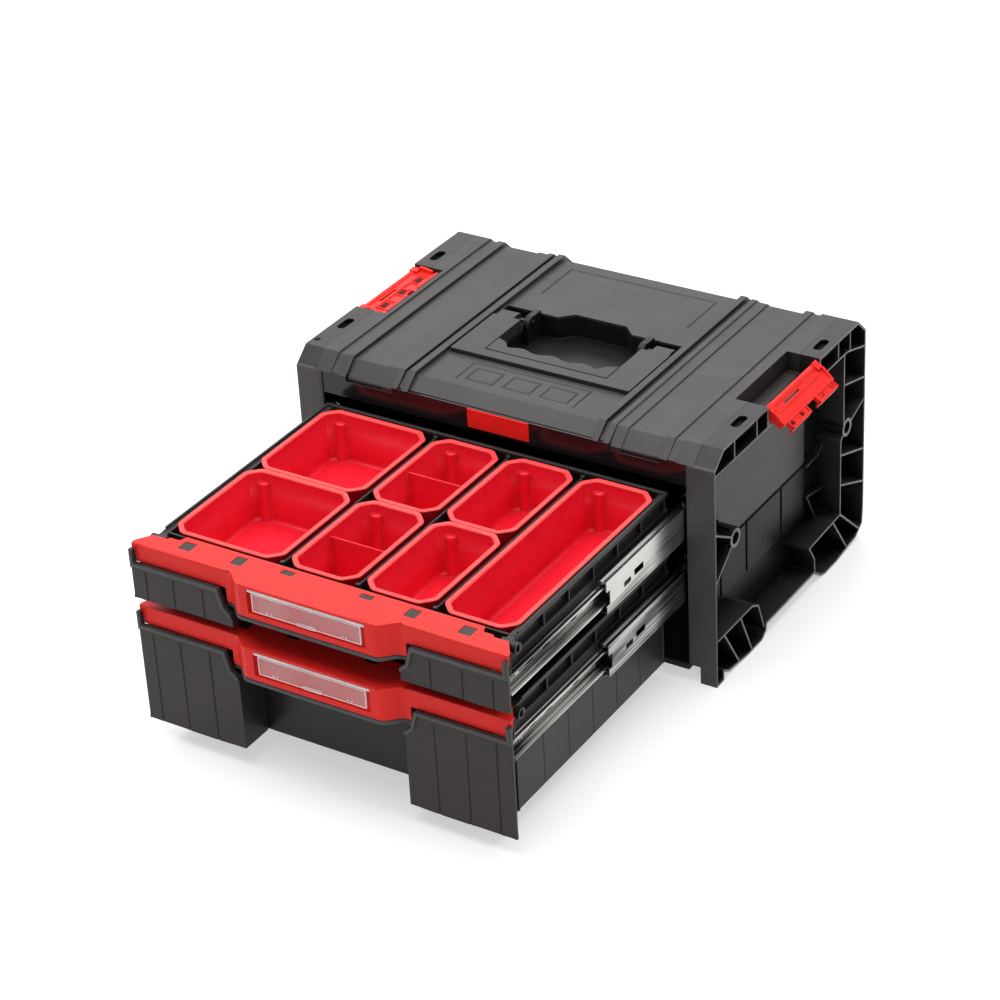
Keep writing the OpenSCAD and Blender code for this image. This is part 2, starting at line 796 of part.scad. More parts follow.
// Channel in (x, z) about the slide's mid height: a web, two grooved flanges and the turned-in edges.
// grooves lists the place and the depth of each ball groove from the web to the tip
module channel(web_x, tip_x, half, turn, grooves) {
    way = sign(tip_x - web_x);
    t = rail_t * way;
    bend_z = half - rail_t;
    dents = [for (g = grooves) each (way < 0 ? groove(g[0], 0, g[1]) : backwards(groove(g[0], 0, g[1])))];
    outer_skin = [for (p = dents) [p[0], half + p[1]]];
    inner_skin = backwards([for (p = dents) [p[0], bend_z + p[1]]]);
    upper = concat([[web_x, half]], outer_skin, [[tip_x, half], [tip_x, bend_z - turn],
        [tip_x - t, bend_z - turn], [tip_x - t, bend_z]], inner_skin, [[web_x + t, bend_z]]);
    polygon(concat(upper, upside_down(upper)));
}

groove_d = 0.6;
module outer_section() channel(inner_x, inner_x - slide_t + 3.2, outer_half, 1.5, [[outer_row_x, groove_d]]);
module middle_section() channel(middle_x, seat_x + 2.2, middle_half, 0.4,
    [[outer_row_x, -groove_d], [inner_row_x, groove_d]]);
module inner_section() channel(seat_x, seat_x + slide_t - 5.2, inner_half, 1, [[inner_row_x, -groove_d]]);

module rail_length() {
    along_y(slide_front, slide_front + slide_len) children();
}

module outer_rail(z) {
    color(zinc) casing_place() difference() {
        translate([0, 0, z]) rail_length() outer_section();
        for (y = SCREW_YS) rod_x(inner_x - rail_t - 1, inner_x + 1, slide_front + y, z, 3);
    }
}

module middle_rail(z) {
    color(zinc) middle_place() difference() {
        translate([0, 0, z]) rail_length() middle_section();
        // Stamped windows and the notched front end
        block(middle_x - rail_t - 1, middle_x + 1, slide_front + 30, slide_front + 42, z - 5, z);
        block(middle_x - rail_t - 1, middle_x + 1, slide_front + 48, slide_front + 64, z - 3, z + 3);
        block(middle_x - rail_t - 1, middle_x + 1, slide_front - 1, slide_front + 6, z - 8, z + 6);
    }
}

module inner_rail(z) {
    color(zinc) drawer_place() difference() {
        translate([0, 0, z]) rail_length() inner_section();
        for (y = SCREW_YS) rod_x(seat_x - 1, seat_x + rail_t + 1, slide_front + y, z, 3);
        for (y = [36, 62, 108]) slot_hole(seat_x, slide_front + y, z);
    }
}

// Small long hole through a rail's web
module slot_hole(x, y, z) {
    block(x - 1, x + rail_t + 1, y, y + 7, z - 1.6, z + 1.6);
    for (end = [y, y + 7]) rod_x(x - 1, x + rail_t + 1, end, z, 1.6);
}

// One cage strip with its row of balls
module ball_strip(x, y0, z) {
    pitch = 13;
    count = 5;
    block(x - 2.6, x + 2.6, y0, y0 + pitch * count, z - 0.6, z + 0.6);
    for (i = [0 : count - 1]) {
        translate([x, y0 + pitch * (i + 0.5), z]) sphere(r = ball_r);
    }
}

module ball_cages(z) {
    inner_row = inner_half + ball_r + 0.1;
    outer_row = middle_half + ball_r + 0.1;
    color(steel) middle_place() for (s = [-1, 1]) {
        ball_strip(inner_row_x, slide_front + 2, z + s * inner_row);
        ball_strip(outer_row_x, slide_front + slide_len - 67, z + s * outer_row);
    }
}

module wall_screw(x, y, z, away) {
    rod_x(min(x, x + away * rail_t), max(x, x + away * rail_t), y, z, 2.9);
    rod_x(min(x, x + away * 3.2), max(x, x + away * 3.2), y, z, 1.5);
}

module casing_rail_screws() {
    color(steel) casing_place() both_sides() {
        for (z = [upper_top - rail_drop, lower_top - rail_drop]) {
            for (y = SCREW_YS) wall_screw(inner_x - rail_t, slide_front + y, z, 1);
        }
    }
}

module drawer_rail_screws(z) {
    color(steel) drawer_place() both_sides() {
        for (y = SCREW_YS) wall_screw(seat_x + rail_t, slide_front + y, z, -1);
    }
}

// ---------------------------------------------------------------- trays

// Half section of a tray wall in (x, z): a shelf for the bins, a lip, and a flat seat for the slide
module wall_section(top, floor_z, step_z) {
    t = tray_wall;
    shelf = 2.4;
    low_x = seat_x - 7.6;
    deep = step_z > floor_z + 5;
    polygon(concat(
        deep ? [[low_x - t, floor_z], [low_x, floor_z], [low_x, step_z], [seat_x, step_z + 3]]
             : [[seat_x - t, floor_z], [seat_x, floor_z]],
        [
            [seat_x, top - 17], [tray_in_x + t, top - 17], [tray_in_x + t, top - 4.4],
            [seat_x, top - 4.4], [seat_x, top], [seat_x - t, top], [seat_x - t, top - shelf],
            [tray_in_x, top - shelf], [tray_in_x, top - 17 - t], [seat_x - t, top - 17 - t]
        ],
        deep ? [[seat_x - t, step_z + 3 + t], [low_x - t, step_z + t]] : []
    ));
}

// The same wall cut off at level z1
module lowered_wall(top, floor_z, step_z, z1) {
    intersection() {
        wall_section(top, floor_z, step_z);
        translate([0, floor_z - 1]) square([seat_x + 1, z1 - floor_z + 1]);
    }
}

// Front pad outline in (x, z)
module pad_outline(top, bottom) {
    polygon([
        [pad_gap_half, bottom], [pad_x, bottom], [pad_x, top - 5], [pad_x - 4.5, top - 5],
        [pad_x - 4.5, top - 18.5], [pad_gap_half + 11.5, top - 18.5],
        [pad_gap_half + 6.5, top - 37], [pad_gap_half, top - 42.5]
    ]);
}

// Raised border along the top and the slanted inner edge of a pad
module pad_border(top) {
    w = 4;
    polygon([
        [pad_gap_half, top - 42.5], [pad_gap_half + 6.5, top - 37], [pad_gap_half + 11.5, top - 18.5],
        [pad_x - 4.5, top - 18.5], [pad_x - 4.5, top - 5], [pad_x, top - 5], [pad_x, top - 18.5 - w - 2],
        [pad_x - 4.5, top - 18.5 - w], [pad_gap_half + 14.6, top - 18.5 - w],
        [pad_gap_half + 10, top - 39], [pad_gap_half, top - 47]
    ]);
}

// Places of the dark pegs that show through the trim: x, y, half width, half depth
PEGS = [[41, 24.5, 6.2, 3.2], [90, 21, 5.6, 6.2], [145, 20, 6.2, 6]];

bumper_y = 27;
bumper_drop = 8;

module tray(top, floor_z, step_z) {
    t = tray_wall;
    deep = step_z > floor_z + 5;
    low_x = deep ? seat_x - 7.6 : seat_x;
    color(tray_grey) drawer_place() difference() {
        union() {
            both_sides() along_y(front_box, tray_end_y) wall_section(top, floor_z, step_z);
            block(-low_x + eps, low_x - eps, front_box, tray_end_y, floor_z, floor_z + t);
            rear_wall(top, floor_z, step_z);
            block(-tray_in_x - 1, tray_in_x + 1, front_box, front_box + t, floor_z, top - trim_t - 0.2);
            both_sides() side_ribs(top);
            if (!deep) divider_guides(top, floor_z);
        }
        // Clears the raised lip above the trim at the front corners
        block(-seat_x - 1, seat_x + 1, front_box - 3, front_box + 4, top - 2.2, top + 1);
        for (y = SCREW_YS) both_sides()
            rod_x(seat_x - 3, seat_x + 1, slide_front + y, top - rail_drop, 1.55);
        if (deep) both_sides() side_grooves(floor_z, step_z);
    }
}

// The two pads with the corners behind them, and the grey lip between them
module drawer_front(top, floor_z, step_z, pad_bottom) {
    skin = trim_t + 0.2;
    back_y = front_box - 0.05;
    color(tray_grey) drawer_place() {
        both_sides() difference() {
            union() {
                front_pad(top, pad_bottom, floor_z, back_y);
                along_y(3 - eps, back_y) lowered_wall(top, floor_z, step_z, top - 18.6);
                along_y(3 + skin, back_y) lowered_wall(top, floor_z, step_z, top - skin);
                block(seat_x - 10, seat_x, 24, 30, top - 16, top - skin);
            }
            rod_x(seat_x - 3, seat_x + 1, slide_front + SCREW_YS[0], top - rail_drop, 1.55);
            rod_x(seat_x - 4, seat_x + 1, bumper_y, top - bumper_drop, 2.05);
        }
        grip_lip(top, back_y);
    }
}

// Dark pegs that show through the trim
module trim_pegs(top) {
    color(tray_grey) drawer_place() both_sides() for (p = PEGS) {
        block(p[0] - p[2], p[0] + p[2], p[1] - p[3], p[1] + p[3], top - 12, top - 0.5);
        block(p[0] - 1, p[0] + 1, p[1] - 1, front_box, top - 12, top - trim_t - 0.2);
    }
}

module rear_wall(top, floor_z, step_z) {
    y0 = tray_end_y - tray_wall;
    block(-tray_in_x, tray_in_x, y0, tray_end_y, floor_z, top - 2);
    block(-seat_x, seat_x, y0 - 1.6, tray_end_y, top - 4.4, top);
    both_sides() along_y(y0, tray_end_y) polygon([
        [tray_in_x - eps, step_z + 3], [seat_x - eps, step_z + 3], [seat_x - eps, top - 17.2],
        [tray_in_x - eps, top - 17.2]
    ]);
}

module side_ribs(top) {
    last = tray_end_y - 6;
    for (i = [0 : floor((last - front_box - 6) / tray_rib_pitch)]) {
        y = last - i * tray_rib_pitch;
        block(tray_in_x + tray_wall - eps, seat_x - 0.3, y - 0.8, y + 0.8, top - 17.5, top - 4);
    }
}

module side_grooves(floor_z, step_z) {
    low_x = seat_x - 7.6;
    for (i = [0 : 5]) {
        y = tray_end_y - 45 - i * 42;
        block(low_x - 0.5, low_x + 1, y - 0.5, y + 0.5, floor_z - 1, step_z - 3);
    }
}

module front_pad(top, pad_bottom, floor_z, back_y) {
    t = tray_wall;
    line = 0.5;
    difference() {
        along_y(0, 3) pad_outline(top, pad_bottom);
        for (x = [118, 150, 180]) block(x - line, x + line, -1, 0.4, pad_bottom - 1, top - 26);
    }
    along_y(-1.5, eps) pad_border(top);
    // Inner cheek and bottom of the hollow behind the pad
    block(pad_gap_half, pad_gap_half + t, 3 - eps, back_y, pad_bottom, top - 42.5);
    block(pad_gap_half, seat_x - 7.6, 3 - eps, back_y, pad_bottom, max(pad_bottom, floor_z) + t);
    block(pad_x - 2, pad_x + 0.5, 0, 3, pad_bottom - 0.6, pad_bottom + 3);
}

// Grey lip under the red handle section
module grip_lip(top, back_y) {
    translate([0, 0, top - lip_drop]) linear_extrude(lip_t)
        polygon(concat(
            front_path(pad_gap_half + 6, 0),
            [[pad_gap_half + 6, back_y], [-pad_gap_half - 6, back_y]]
        ));
}

// Ribs that hold the ends of the dividers
module divider_guides(top, floor_z) {
    for (x = [divider_1, divider_2, divider_3]) for (s = [-1, 1]) {
        block(x + s * 4.4 - 0.8, x + s * 4.4 + 0.8, bay_y0 - eps, bay_y0 + 3, floor_z + 1, top - 9);
        block(x + s * 4.4 - 0.8, x + s * 4.4 + 0.8, bay_y1 - 3, bay_y1 + eps, floor_z + 1, top - 9);
    }
}

// ---------------------------------------------------------------- trims and windows

lip_drop = 36.6;
lip_t = 4;
window_axis_y = 1.6 - grip_out;
window_axis_drop = 4.6;
window_pin_r = 0.9;

// Front of the drawer in plan: straight, with a rounded section that stands out, drawn in by d
grip_half = 72.4;
shoulder_x = 86;
shoulder_r = 11;
function front_path(end_x, d) = let (
    line = [
        [-end_x, 3], [-shoulder_x, 3], [-grip_half, -grip_out],
        [grip_half, -grip_out], [shoulder_x, 3], [end_x, 3]
    ],
    inner = [for (i = [1 : 4]) mitred(line[i - 1], line[i], line[i + 1], d)],
    path = concat([[-end_x, 3 + d]], inner, [[end_x, 3 + d]])
) concat(
    [path[0]],
    bend(path[0], path[1], path[2], shoulder_r + d),
    bend(path[1], path[2], path[3], shoulder_r - d),
    bend(path[2], path[3], path[4], shoulder_r - d),
    bend(path[3], path[4], path[5], shoulder_r + d),
    [path[5]]
);

module trim_plan() {
    polygon(concat(front_path(pad_x - 1, 0), [
        [pad_x - 1, 7], [seat_x + 0.5, 22], [seat_x - 14, 22], [seat_x - 16, 25], [seat_x - 26, 25],
        [seat_x - 29, front_box - 1.4], [-seat_x + 29, front_box - 1.4], [-seat_x + 26, 25],
        [-seat_x + 16, 25], [-seat_x + 14, 22], [-seat_x - 0.5, 22], [-pad_x + 1, 7]
    ]));
}

// Front skin of the trim in plan, one wall thick
module trim_skin_plan() {
    end_x = pad_gap_half + 6;
    polygon(concat(front_path(end_x, 0), backwards(front_path(end_x, trim_t))));
}

module trim(top) {
    skin_low = top - lip_drop + lip_t + 0.3;
    edge = 1.6;
    color(signal_red) drawer_place() difference() {
        union() {
            translate([0, 0, top - trim_t]) linear_extrude(trim_t) trim_plan();
            both_sides() block(pad_gap_half, pad_x - 5.2, 3, 3 + trim_t, top - 18.4, top - trim_t + eps);
            both_sides() block(pad_x - 5.2 - eps, pad_x - 1, 3, 3 + trim_t, top - 12, top - trim_t + eps);
            translate([0, 0, skin_low]) linear_extrude(top - trim_t - skin_low + eps) trim_skin_plan();
            block(-window_half - 3, window_half + 3, -grip_out + 1, -grip_out + 5.6,
                top - window_h - 8, top - trim_t + eps);
        }
        // Softened front edge
        along_x(-pad_x, pad_x) polygon([
            [-grip_out - 1, top - edge], [-grip_out - 1, top + 1], [-grip_out + edge, top + 1]
        ]);
        both_sides() along_x(shoulder_x + 4, pad_x)
            polygon([[2, top - edge], [2, top + 1], [3 + edge, top + 1]]);
        window_recess(top);
        for (p = PEGS) both_sides() block(p[0] - p[2] - 0.3, p[0] + p[2] + 0.3,
            p[1] - p[3] - 0.3, p[1] + p[3] + 0.3, top - trim_t - 1, top + 1);
    }
}

module window_recess(top) {
    x = window_half + 0.4;
    block(-x, x, -grip_out - 1, -grip_out + 3.6, top - window_h - 4, top - trim_t - 0.3);
    both_sides() rod_x(x - 1, x + 1.8, window_axis_y, top - window_axis_drop, window_pin_r + pin_fit);
}

module label_window(top) {
    axis_z = top - window_axis_drop;
    low = axis_z - window_h + 3;
    color(clear) drawer_place() difference() {
        union() {
            rod_x(-window_half, window_half, window_axis_y, axis_z, 1.5);
            rod_x(-window_half - 2, window_half + 2, window_axis_y, axis_z, window_pin_r);
            block(-window_half + 4, window_half - 4, window_axis_y - window_t / 2,
                window_axis_y + window_t / 2, low, axis_z);
            block(-10, 10, window_axis_y - window_t / 2 - 0.6, window_axis_y + window_t / 2,
                low - 0.6, low + 1.6);
        }
        block(-7, 7, window_axis_y - 2, window_axis_y - window_t / 2, low + 0.4, low + 1);
    }
}

// Ring on a stub, with a D-shaped hollow that faces outwards
module bumpers(top) {
    z = top - bumper_drop;
    bumper_r = 5.2;
    color(shell_grey) drawer_place() both_sides() difference() {
        union() {
            rod_x(seat_x, seat_x + 6.4, bumper_y, z, bumper_r);
            rod_x(seat_x - 3.6, seat_x + eps, bumper_y, z, 2);
        }
        intersection() {
            rod_x(seat_x + 1.6, seat_x + 8, bumper_y, z, bumper_r - 1.7);
            block(seat_x + 1, seat_x + 9, bumper_y - 6, bumper_y + 1.6, z - 6, z + 6);
        }
    }
}

// ---------------------------------------------------------------- bins and dividers

// Rectangle with cut corners, drawn in by d
module bin_plan(x0, x1, y0, y1, d) {
    c = bin_corner - d * 0.59;
    a = x0 + d;
    b = x1 - d;
    p = y0 + d;
    q = y1 - d;
    polygon([
        [a + c, p], [b - c, p], [b, p + c], [b, q - c], [b - c, q], [a + c, q], [a, q - c], [a, p + c]
    ]);
}

module bin(x0, x1, y0, y1, split) {
    low = upper_floor + tray_wall + 0.3;
    rim_z = upper_top - 0.6;
    flange_t = 1.6;
    step = 1;
    step_z = low + (rim_z - low) * 0.62;
    in = bin_flange + bin_wall;
    color(signal_red) drawer_place() difference() {
        union() {
            translate([0, 0, rim_z - flange_t]) linear_extrude(flange_t) bin_plan(x0, x1, y0, y1, 0);
            translate([0, 0, step_z]) linear_extrude(rim_z - step_z) bin_plan(x0, x1, y0, y1, bin_flange);
            translate([0, 0, low]) linear_extrude(step_z - low + eps)
                bin_plan(x0, x1, y0, y1, bin_flange + step);
        }
        difference() {
            union() {
                translate([0, 0, step_z + 1]) linear_extrude(rim_z - step_z) bin_plan(x0, x1, y0, y1, in);
                translate([0, 0, low + bin_wall]) linear_extrude(rim_z - low)
                    bin_plan(x0, x1, y0, y1, in + step);
            }
            // Half-round post in the back corner
            translate([x0 + 16, y1 - in - step, low]) cylinder(h = rim_z - low - 11, r = 5.4);
            if (split) block(x0, x1, (y0 + y1) / 2 - 0.8, (y0 + y1) / 2 + 0.8, low, rim_z - 5);
        }
    }
}

// Columns of bins between the tray walls and the dividers
rim_reach = tray_in_x + bin_flange / 2;
COLS = [
    [-rim_reach, divider_1 - divider_bay / 2],
    [divider_1 + divider_bay / 2, divider_2 - divider_bay / 2],
    [divider_2 + divider_bay / 2, divider_3 - divider_bay / 2],
    [divider_3 + divider_bay / 2, rim_reach]
];
rear_y0 = bay_mid_y + bin_gap / 2;
front_y1 = bay_mid_y - bin_gap / 2;
bins_y0 = bay_y0 + bin_gap;
bins_y1 = bay_y1 - 3.4;

module wide_bin_rear() bin(COLS[0][0], COLS[0][1], rear_y0, bins_y1, false);
module wide_bin_front() bin(COLS[0][0], COLS[0][1], bins_y0, front_y1, false);
module split_bin_rear() bin(COLS[1][0], COLS[1][1], rear_y0, bins_y1, true);
module split_bin_front() bin(COLS[1][0], COLS[1][1], bins_y0, front_y1, true);
module plain_bin_rear() bin(COLS[2][0], COLS[2][1], rear_y0, bins_y1, false);
module plain_bin_front() bin(COLS[2][0], COLS[2][1], bins_y0, front_y1, false);
module long_bin() bin(COLS[3][0], COLS[3][1], bins_y0, bins_y1, false);

module divider(x) {
    low = upper_floor + tray_wall + 0.3;
    r = divider_t / 2;
    y0 = bay_y0 + 4;
    y1 = bay_y1 - 5;
    crown = upper_top - 3 - r;
    color(tray_grey) drawer_place() {
        along_y(y0, y1) polygon(concat(
            [[x - r, low], [x + r, low]],
            [for (a = [0 : 30 : 180]) [x + r * cos(a), crown + r * sin(a)]]
        ));
        for (y = [y0, y1]) translate([x, y, low]) {
            cylinder(h = upper_top - 1.6 - low, r = 2.2);
            cylinder(h = upper_top - 8 - low, r = 2.9);
        }
    }
}

module left_divider() divider(divider_1);
module middle_divider() divider(divider_2);
module right_divider() divider(divider_3);

// ---------------------------------------------------------------- the two drawers

upper_rail_z = upper_top - rail_drop;
lower_rail_z = lower_top - rail_drop;
lower_step_z = lower_top - 60;

module upper_right_outer_rail() outer_rail(upper_rail_z);
module upper_left_outer_rail() left_one() outer_rail(upper_rail_z);
module lower_right_outer_rail() outer_rail(lower_rail_z);
module lower_left_outer_rail() left_one() outer_rail(lower_rail_z);
module upper_right_middle_rail() middle_rail(upper_rail_z);
module upper_left_middle_rail() left_one() middle_rail(upper_rail_z);
module lower_right_middle_rail() middle_rail(lower_rail_z);
module lower_left_middle_rail() left_one() middle_rail(lower_rail_z);
module upper_right_ball_cages() ball_cages(upper_rail_z);
module upper_left_ball_cages() left_one() ball_cages(upper_rail_z);
module lower_right_ball_cages() ball_cages(lower_rail_z);
module lower_left_ball_cages() left_one() ball_cages(lower_rail_z);
module upper_right_inner_rail() inner_rail(upper_rail_z);
module upper_left_inner_rail() left_one() inner_rail(upper_rail_z);
module lower_right_inner_rail() inner_rail(lower_rail_z);
module lower_left_inner_rail() left_one() inner_rail(lower_rail_z);
module upper_rail_screws() drawer_rail_screws(upper_rail_z);
module lower_rail_screws() drawer_rail_screws(lower_rail_z);
module upper_tray() tray(upper_top, upper_floor, upper_floor);
module lower_tray() tray(lower_top, lower_floor, lower_step_z);
module upper_drawer_front() drawer_front(upper_top, upper_floor, upper_floor, upper_floor - 2);
module lower_drawer_front() drawer_front(lower_top, lower_floor, lower_step_z, lower_floor - 1.4);
module upper_trim_pegs() trim_pegs(upper_top);
module lower_trim_pegs() trim_pegs(lower_top);
module upper_trim() trim(upper_top);
module lower_trim() trim(lower_top);
module upper_label_window() label_window(upper_top);
module lower_label_window() label_window(lower_top);
module upper_bumpers() bumpers(upper_top);
module lower_bumpers() bumpers(lower_top);

top_shell();
handle_housing();
right_side_panel();
left_side_panel();
right_side_rim();
left_side_rim();
right_tube_bosses();
left_tube_bosses();
back_panel();
base_panel();
front_crossbar();
badge_plate();
handle_pins();
latch_pins();
upper_right_outer_rail();
upper_left_outer_rail();
lower_right_outer_rail();
lower_left_outer_rail();
casing_rail_screws();
carry_handle();
handle_grip();
right_latch();
left_latch();
upper_right_middle_rail();
upper_left_middle_rail();
lower_right_middle_rail();
lower_left_middle_rail();
upper_right_ball_cages();
upper_left_ball_cages();
lower_right_ball_cages();
lower_left_ball_cages();
upper_tray();
upper_drawer_front();
upper_trim_pegs();
upper_trim();
upper_label_window();
upper_right_inner_rail();
upper_left_inner_rail();
upper_rail_screws();
upper_bumpers();
lower_tray();
lower_drawer_front();
lower_trim_pegs();
lower_trim();
lower_label_window();
lower_right_inner_rail();
lower_left_inner_rail();
lower_rail_screws();
lower_bumpers();
wide_bin_rear();
wide_bin_front();
split_bin_rear();
split_bin_front();
plain_bin_rear();
plain_bin_front();
long_bin();
left_divider();
middle_divider();
right_divider();
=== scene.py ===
"""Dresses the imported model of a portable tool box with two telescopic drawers.

The solids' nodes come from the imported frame. Nodes with crisp moulded or pressed edges are shown through
rounded copies, the bins and the label windows are surfaces worked out here, small details lie over the
solids, and every visible piece gets a procedural finish. Lengths are metres in the shared frame, except
in tables and constants that say millimetres.
"""
import json
import logging
import math
from dataclasses import dataclass, field
from enum import Enum
from typing import Iterable, Sequence

import bmesh
import bpy
import numpy as np
from mathutils import Matrix, Vector

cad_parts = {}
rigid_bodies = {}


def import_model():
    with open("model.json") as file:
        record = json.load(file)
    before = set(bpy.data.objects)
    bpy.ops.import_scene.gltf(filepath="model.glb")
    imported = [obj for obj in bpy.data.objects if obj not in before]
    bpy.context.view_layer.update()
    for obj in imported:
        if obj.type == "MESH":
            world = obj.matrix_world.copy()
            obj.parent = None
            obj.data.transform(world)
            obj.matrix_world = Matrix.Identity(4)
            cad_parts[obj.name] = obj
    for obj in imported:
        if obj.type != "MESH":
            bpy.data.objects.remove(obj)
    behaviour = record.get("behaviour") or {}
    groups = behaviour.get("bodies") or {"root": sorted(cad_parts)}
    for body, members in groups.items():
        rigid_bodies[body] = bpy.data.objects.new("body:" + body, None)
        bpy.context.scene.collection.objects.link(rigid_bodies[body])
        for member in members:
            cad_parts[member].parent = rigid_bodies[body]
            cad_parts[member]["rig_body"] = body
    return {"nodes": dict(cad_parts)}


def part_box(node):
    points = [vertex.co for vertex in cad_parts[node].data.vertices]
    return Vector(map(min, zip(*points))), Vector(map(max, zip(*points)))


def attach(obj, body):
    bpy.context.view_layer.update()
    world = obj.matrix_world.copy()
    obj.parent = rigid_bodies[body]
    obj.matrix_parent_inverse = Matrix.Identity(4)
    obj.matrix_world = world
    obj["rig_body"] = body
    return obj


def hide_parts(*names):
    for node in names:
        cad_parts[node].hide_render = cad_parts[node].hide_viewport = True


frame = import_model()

Node = bpy.types.Node
Socket = bpy.types.NodeSocket
Sockets = bpy.types.bpy_prop_collection
Tree = bpy.types.NodeTree
Material = bpy.types.Material
Piece = bpy.types.Object

LOG = logging.getLogger("tool_box")
MM = 0.001
SIDES = (-1, 1)
DUST_COLOR = (0.35, 0.34, 0.33)

# Places that the solids' own source uses, in millimetres
CASING_FRONT = 3.5
CASING_TOP = 244.0
TRAVEL = 303.0
DRAWER_FRONT = CASING_FRONT - TRAVEL
DRAWER_TOPS = {"upper": 204.0, "lower": 139.0}

# A place below and ahead of the whole box, in metres: what starts there is everywhere, or nowhere
OUTSIDE = -1.0

# Points closer than this are one, in metres: in a node's triangles, and in the rings of a surface
MERGE = 4e-6
WELD = 1e-6


class Slot(Enum):
    """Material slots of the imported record."""

    SHELL = "shell"
    FASCIA = "fascia"
    TRAY = "tray"
    RED = "red"
    RAIL = "rail"
    WINDOW = "window"


# ------------------------------------------------------------------ shader building


def set_inputs(node: Node, values: dict) -> None:
    """Sets a node's inputs to plain values, given by the inputs' names."""
    for label, value in values.items():
        node.inputs[label].default_value = value


@dataclass
class Graph:
    """A node tree with short calls for adding nodes and wires.

    Attributes:
        tree: the tree.
    """

    tree: Tree

    def add(self, kind: str, **values: object) -> Node:
        """Adds a node.

        Args:
            kind: Blender's type name of the node.
            values: attributes to set on it.

        Returns:
            The new node.
        """
        node = self.tree.nodes.new(kind)
        for key, value in values.items():
            setattr(node, key, value)
        return node

    def group(self, tree: Tree, **values: float) -> Sockets:
        """Adds a shared group.

        Args:
            tree: the group.
            values: values of its inputs.

        Returns:
            Its outputs.
        """
        node = self.add("ShaderNodeGroup", node_tree=tree)
        set_inputs(node, values)
        return node.outputs

    def wire(self, source: Socket, target: Socket) -> None:
        """Joins an output to an input."""
        self.tree.links.new(source, target)

    def feed(self, socket: Socket, value: object) -> None:
        """Fills an input.

        Args:
            socket: the input.
            value: a socket to wire to it, a plain value to set, or nothing.
        """
        if isinstance(value, Socket):
            self.wire(value, socket)
        elif value is not None:
            socket.default_value = value

    def math(self, operation: str, first: object, second: object = None, clamp: bool = False) -> Socket:
        """Adds a Math node.

        Args:
            operation: name of the operation.
            first: first value or socket.
            second: second value or socket.
            clamp: whether the result is kept between 0 and 1.

        Returns:
            Its output.
        """
        node = self.add("ShaderNodeMath", operation=operation, use_clamp=clamp)
        self.feed(node.inputs[0], first)
        self.feed(node.inputs[1], second)
        return node.outputs[0]

    def weigh(self, share: float, first: Socket, second: Socket) -> Socket:
        """Adds up two values, share of the first and the rest of the second."""
        return self.math("ADD", self.math("MULTIPLY", first, share), self.math("MULTIPLY", second, 1 - share))

    def span(self, value: Socket, low: float, high: float, to_low: object = 0.0,
             to_high: object = 1.0) -> Socket:
        """Maps a value from one range to another and clamps it.

        Args:
            value: the socket to map.
            low: start of its range.
            high: end of its range.
            to_low: result at the start.
            to_high: result at the end.

        Returns:
            The mapped output.
        """
        node = self.add("ShaderNodeMapRange")
        for index, item in enumerate((value, low, high, to_low, to_high)):
            self.feed(node.inputs[index], item)
        return node.outputs[0]

    def noise(self, vector: Socket, scale: object, detail: float = 2.0, roughness: float = 0.5) -> Socket:
        """Adds a noise pattern.

        Args:
            vector: the coordinates that it reads.
            scale: its scale, per metre.
            detail: number of octaves.
            roughness: weight of the finer octaves.

        Returns:
            The noise value.
        """
        node = self.add("ShaderNodeTexNoise")
        self.wire(vector, node.inputs["Vector"])
        self.feed(node.inputs["Scale"], scale)
        set_inputs(node, {"Detail": detail, "Roughness": roughness})
        return node.outputs[0]

    def mix(self, share: Socket, first: object, second: object) -> Socket:
        """Mixes two colours.

        Args:
            share: share of the second colour.
            first: first colour or socket.
            second: second colour or socket.

        Returns:
            The mixed colour.
        """
        node = self.add("ShaderNodeMix", data_type="RGBA")
        self.feed(node.inputs[0], share)
        self.feed(node.inputs[6], first)
        self.feed(node.inputs[7], second)
        return node.outputs[2]

    def bump(self, height: Socket, strength: float, distance: float) -> Socket:
        """Turns a height into a normal.

        Args:
            height: the height, from 0 to 1.
            strength: strength of the relief.
            distance: the metres that a height of 1 stands for.

        Returns:
            The normal.
        """
        node = self.add("ShaderNodeBump")
        set_inputs(node, {"Strength": strength, "Distance": distance})
        self.wire(height, node.inputs["Height"])
        return node.outputs["Normal"]

    def coordinates(self, stretch: Sequence[float] = (1.0, 1.0, 1.0)) -> Socket:
        """Adds object coordinates.

        Args:
            stretch: factors along the axes.

        Returns:
            The stretched coordinates.
        """
        texture = self.add("ShaderNodeTexCoord")
        mapping = self.add("ShaderNodeMapping")
        mapping.inputs["Scale"].default_value = stretch
        self.wire(texture.outputs["Object"], mapping.inputs["Vector"])
        return mapping.outputs[0]

    def direct_rays(self) -> Socket:
        """Adds a mask of the rays that show a surface.

        Returns:
            1 for camera, transmission and glossy rays, and 0 for those that carry light.
        """
        path = self.add("ShaderNodeLightPath")
        seen = self.math("MAXIMUM", path.outputs["Is Camera Ray"], path.outputs["Is Transmission Ray"])
        return self.math("MAXIMUM", seen, path.outputs["Is Glossy Ray"])


def new_group(name: str, inputs: dict, outputs: Sequence[str]) -> tuple:
    """Makes a shader node group.

    Args:
        name: the group's name.
        inputs: default value of each float input, by its name.
        outputs: names of its float outputs.

    Returns:
        The group's graph, and the sockets that it gets and fills.
    """
    group = bpy.data.node_groups.new(name, "ShaderNodeTree")
    for label, value in inputs.items():
        socket = group.interface.new_socket(label, in_out="INPUT", socket_type="NodeSocketFloat")
        socket.default_value = value
    for label in outputs:
        group.interface.new_socket(label, in_out="OUTPUT", socket_type="NodeSocketFloat")
    graph = Graph(group)
    return graph, graph.add("NodeGroupInput").outputs, graph.add("NodeGroupOutput").inputs


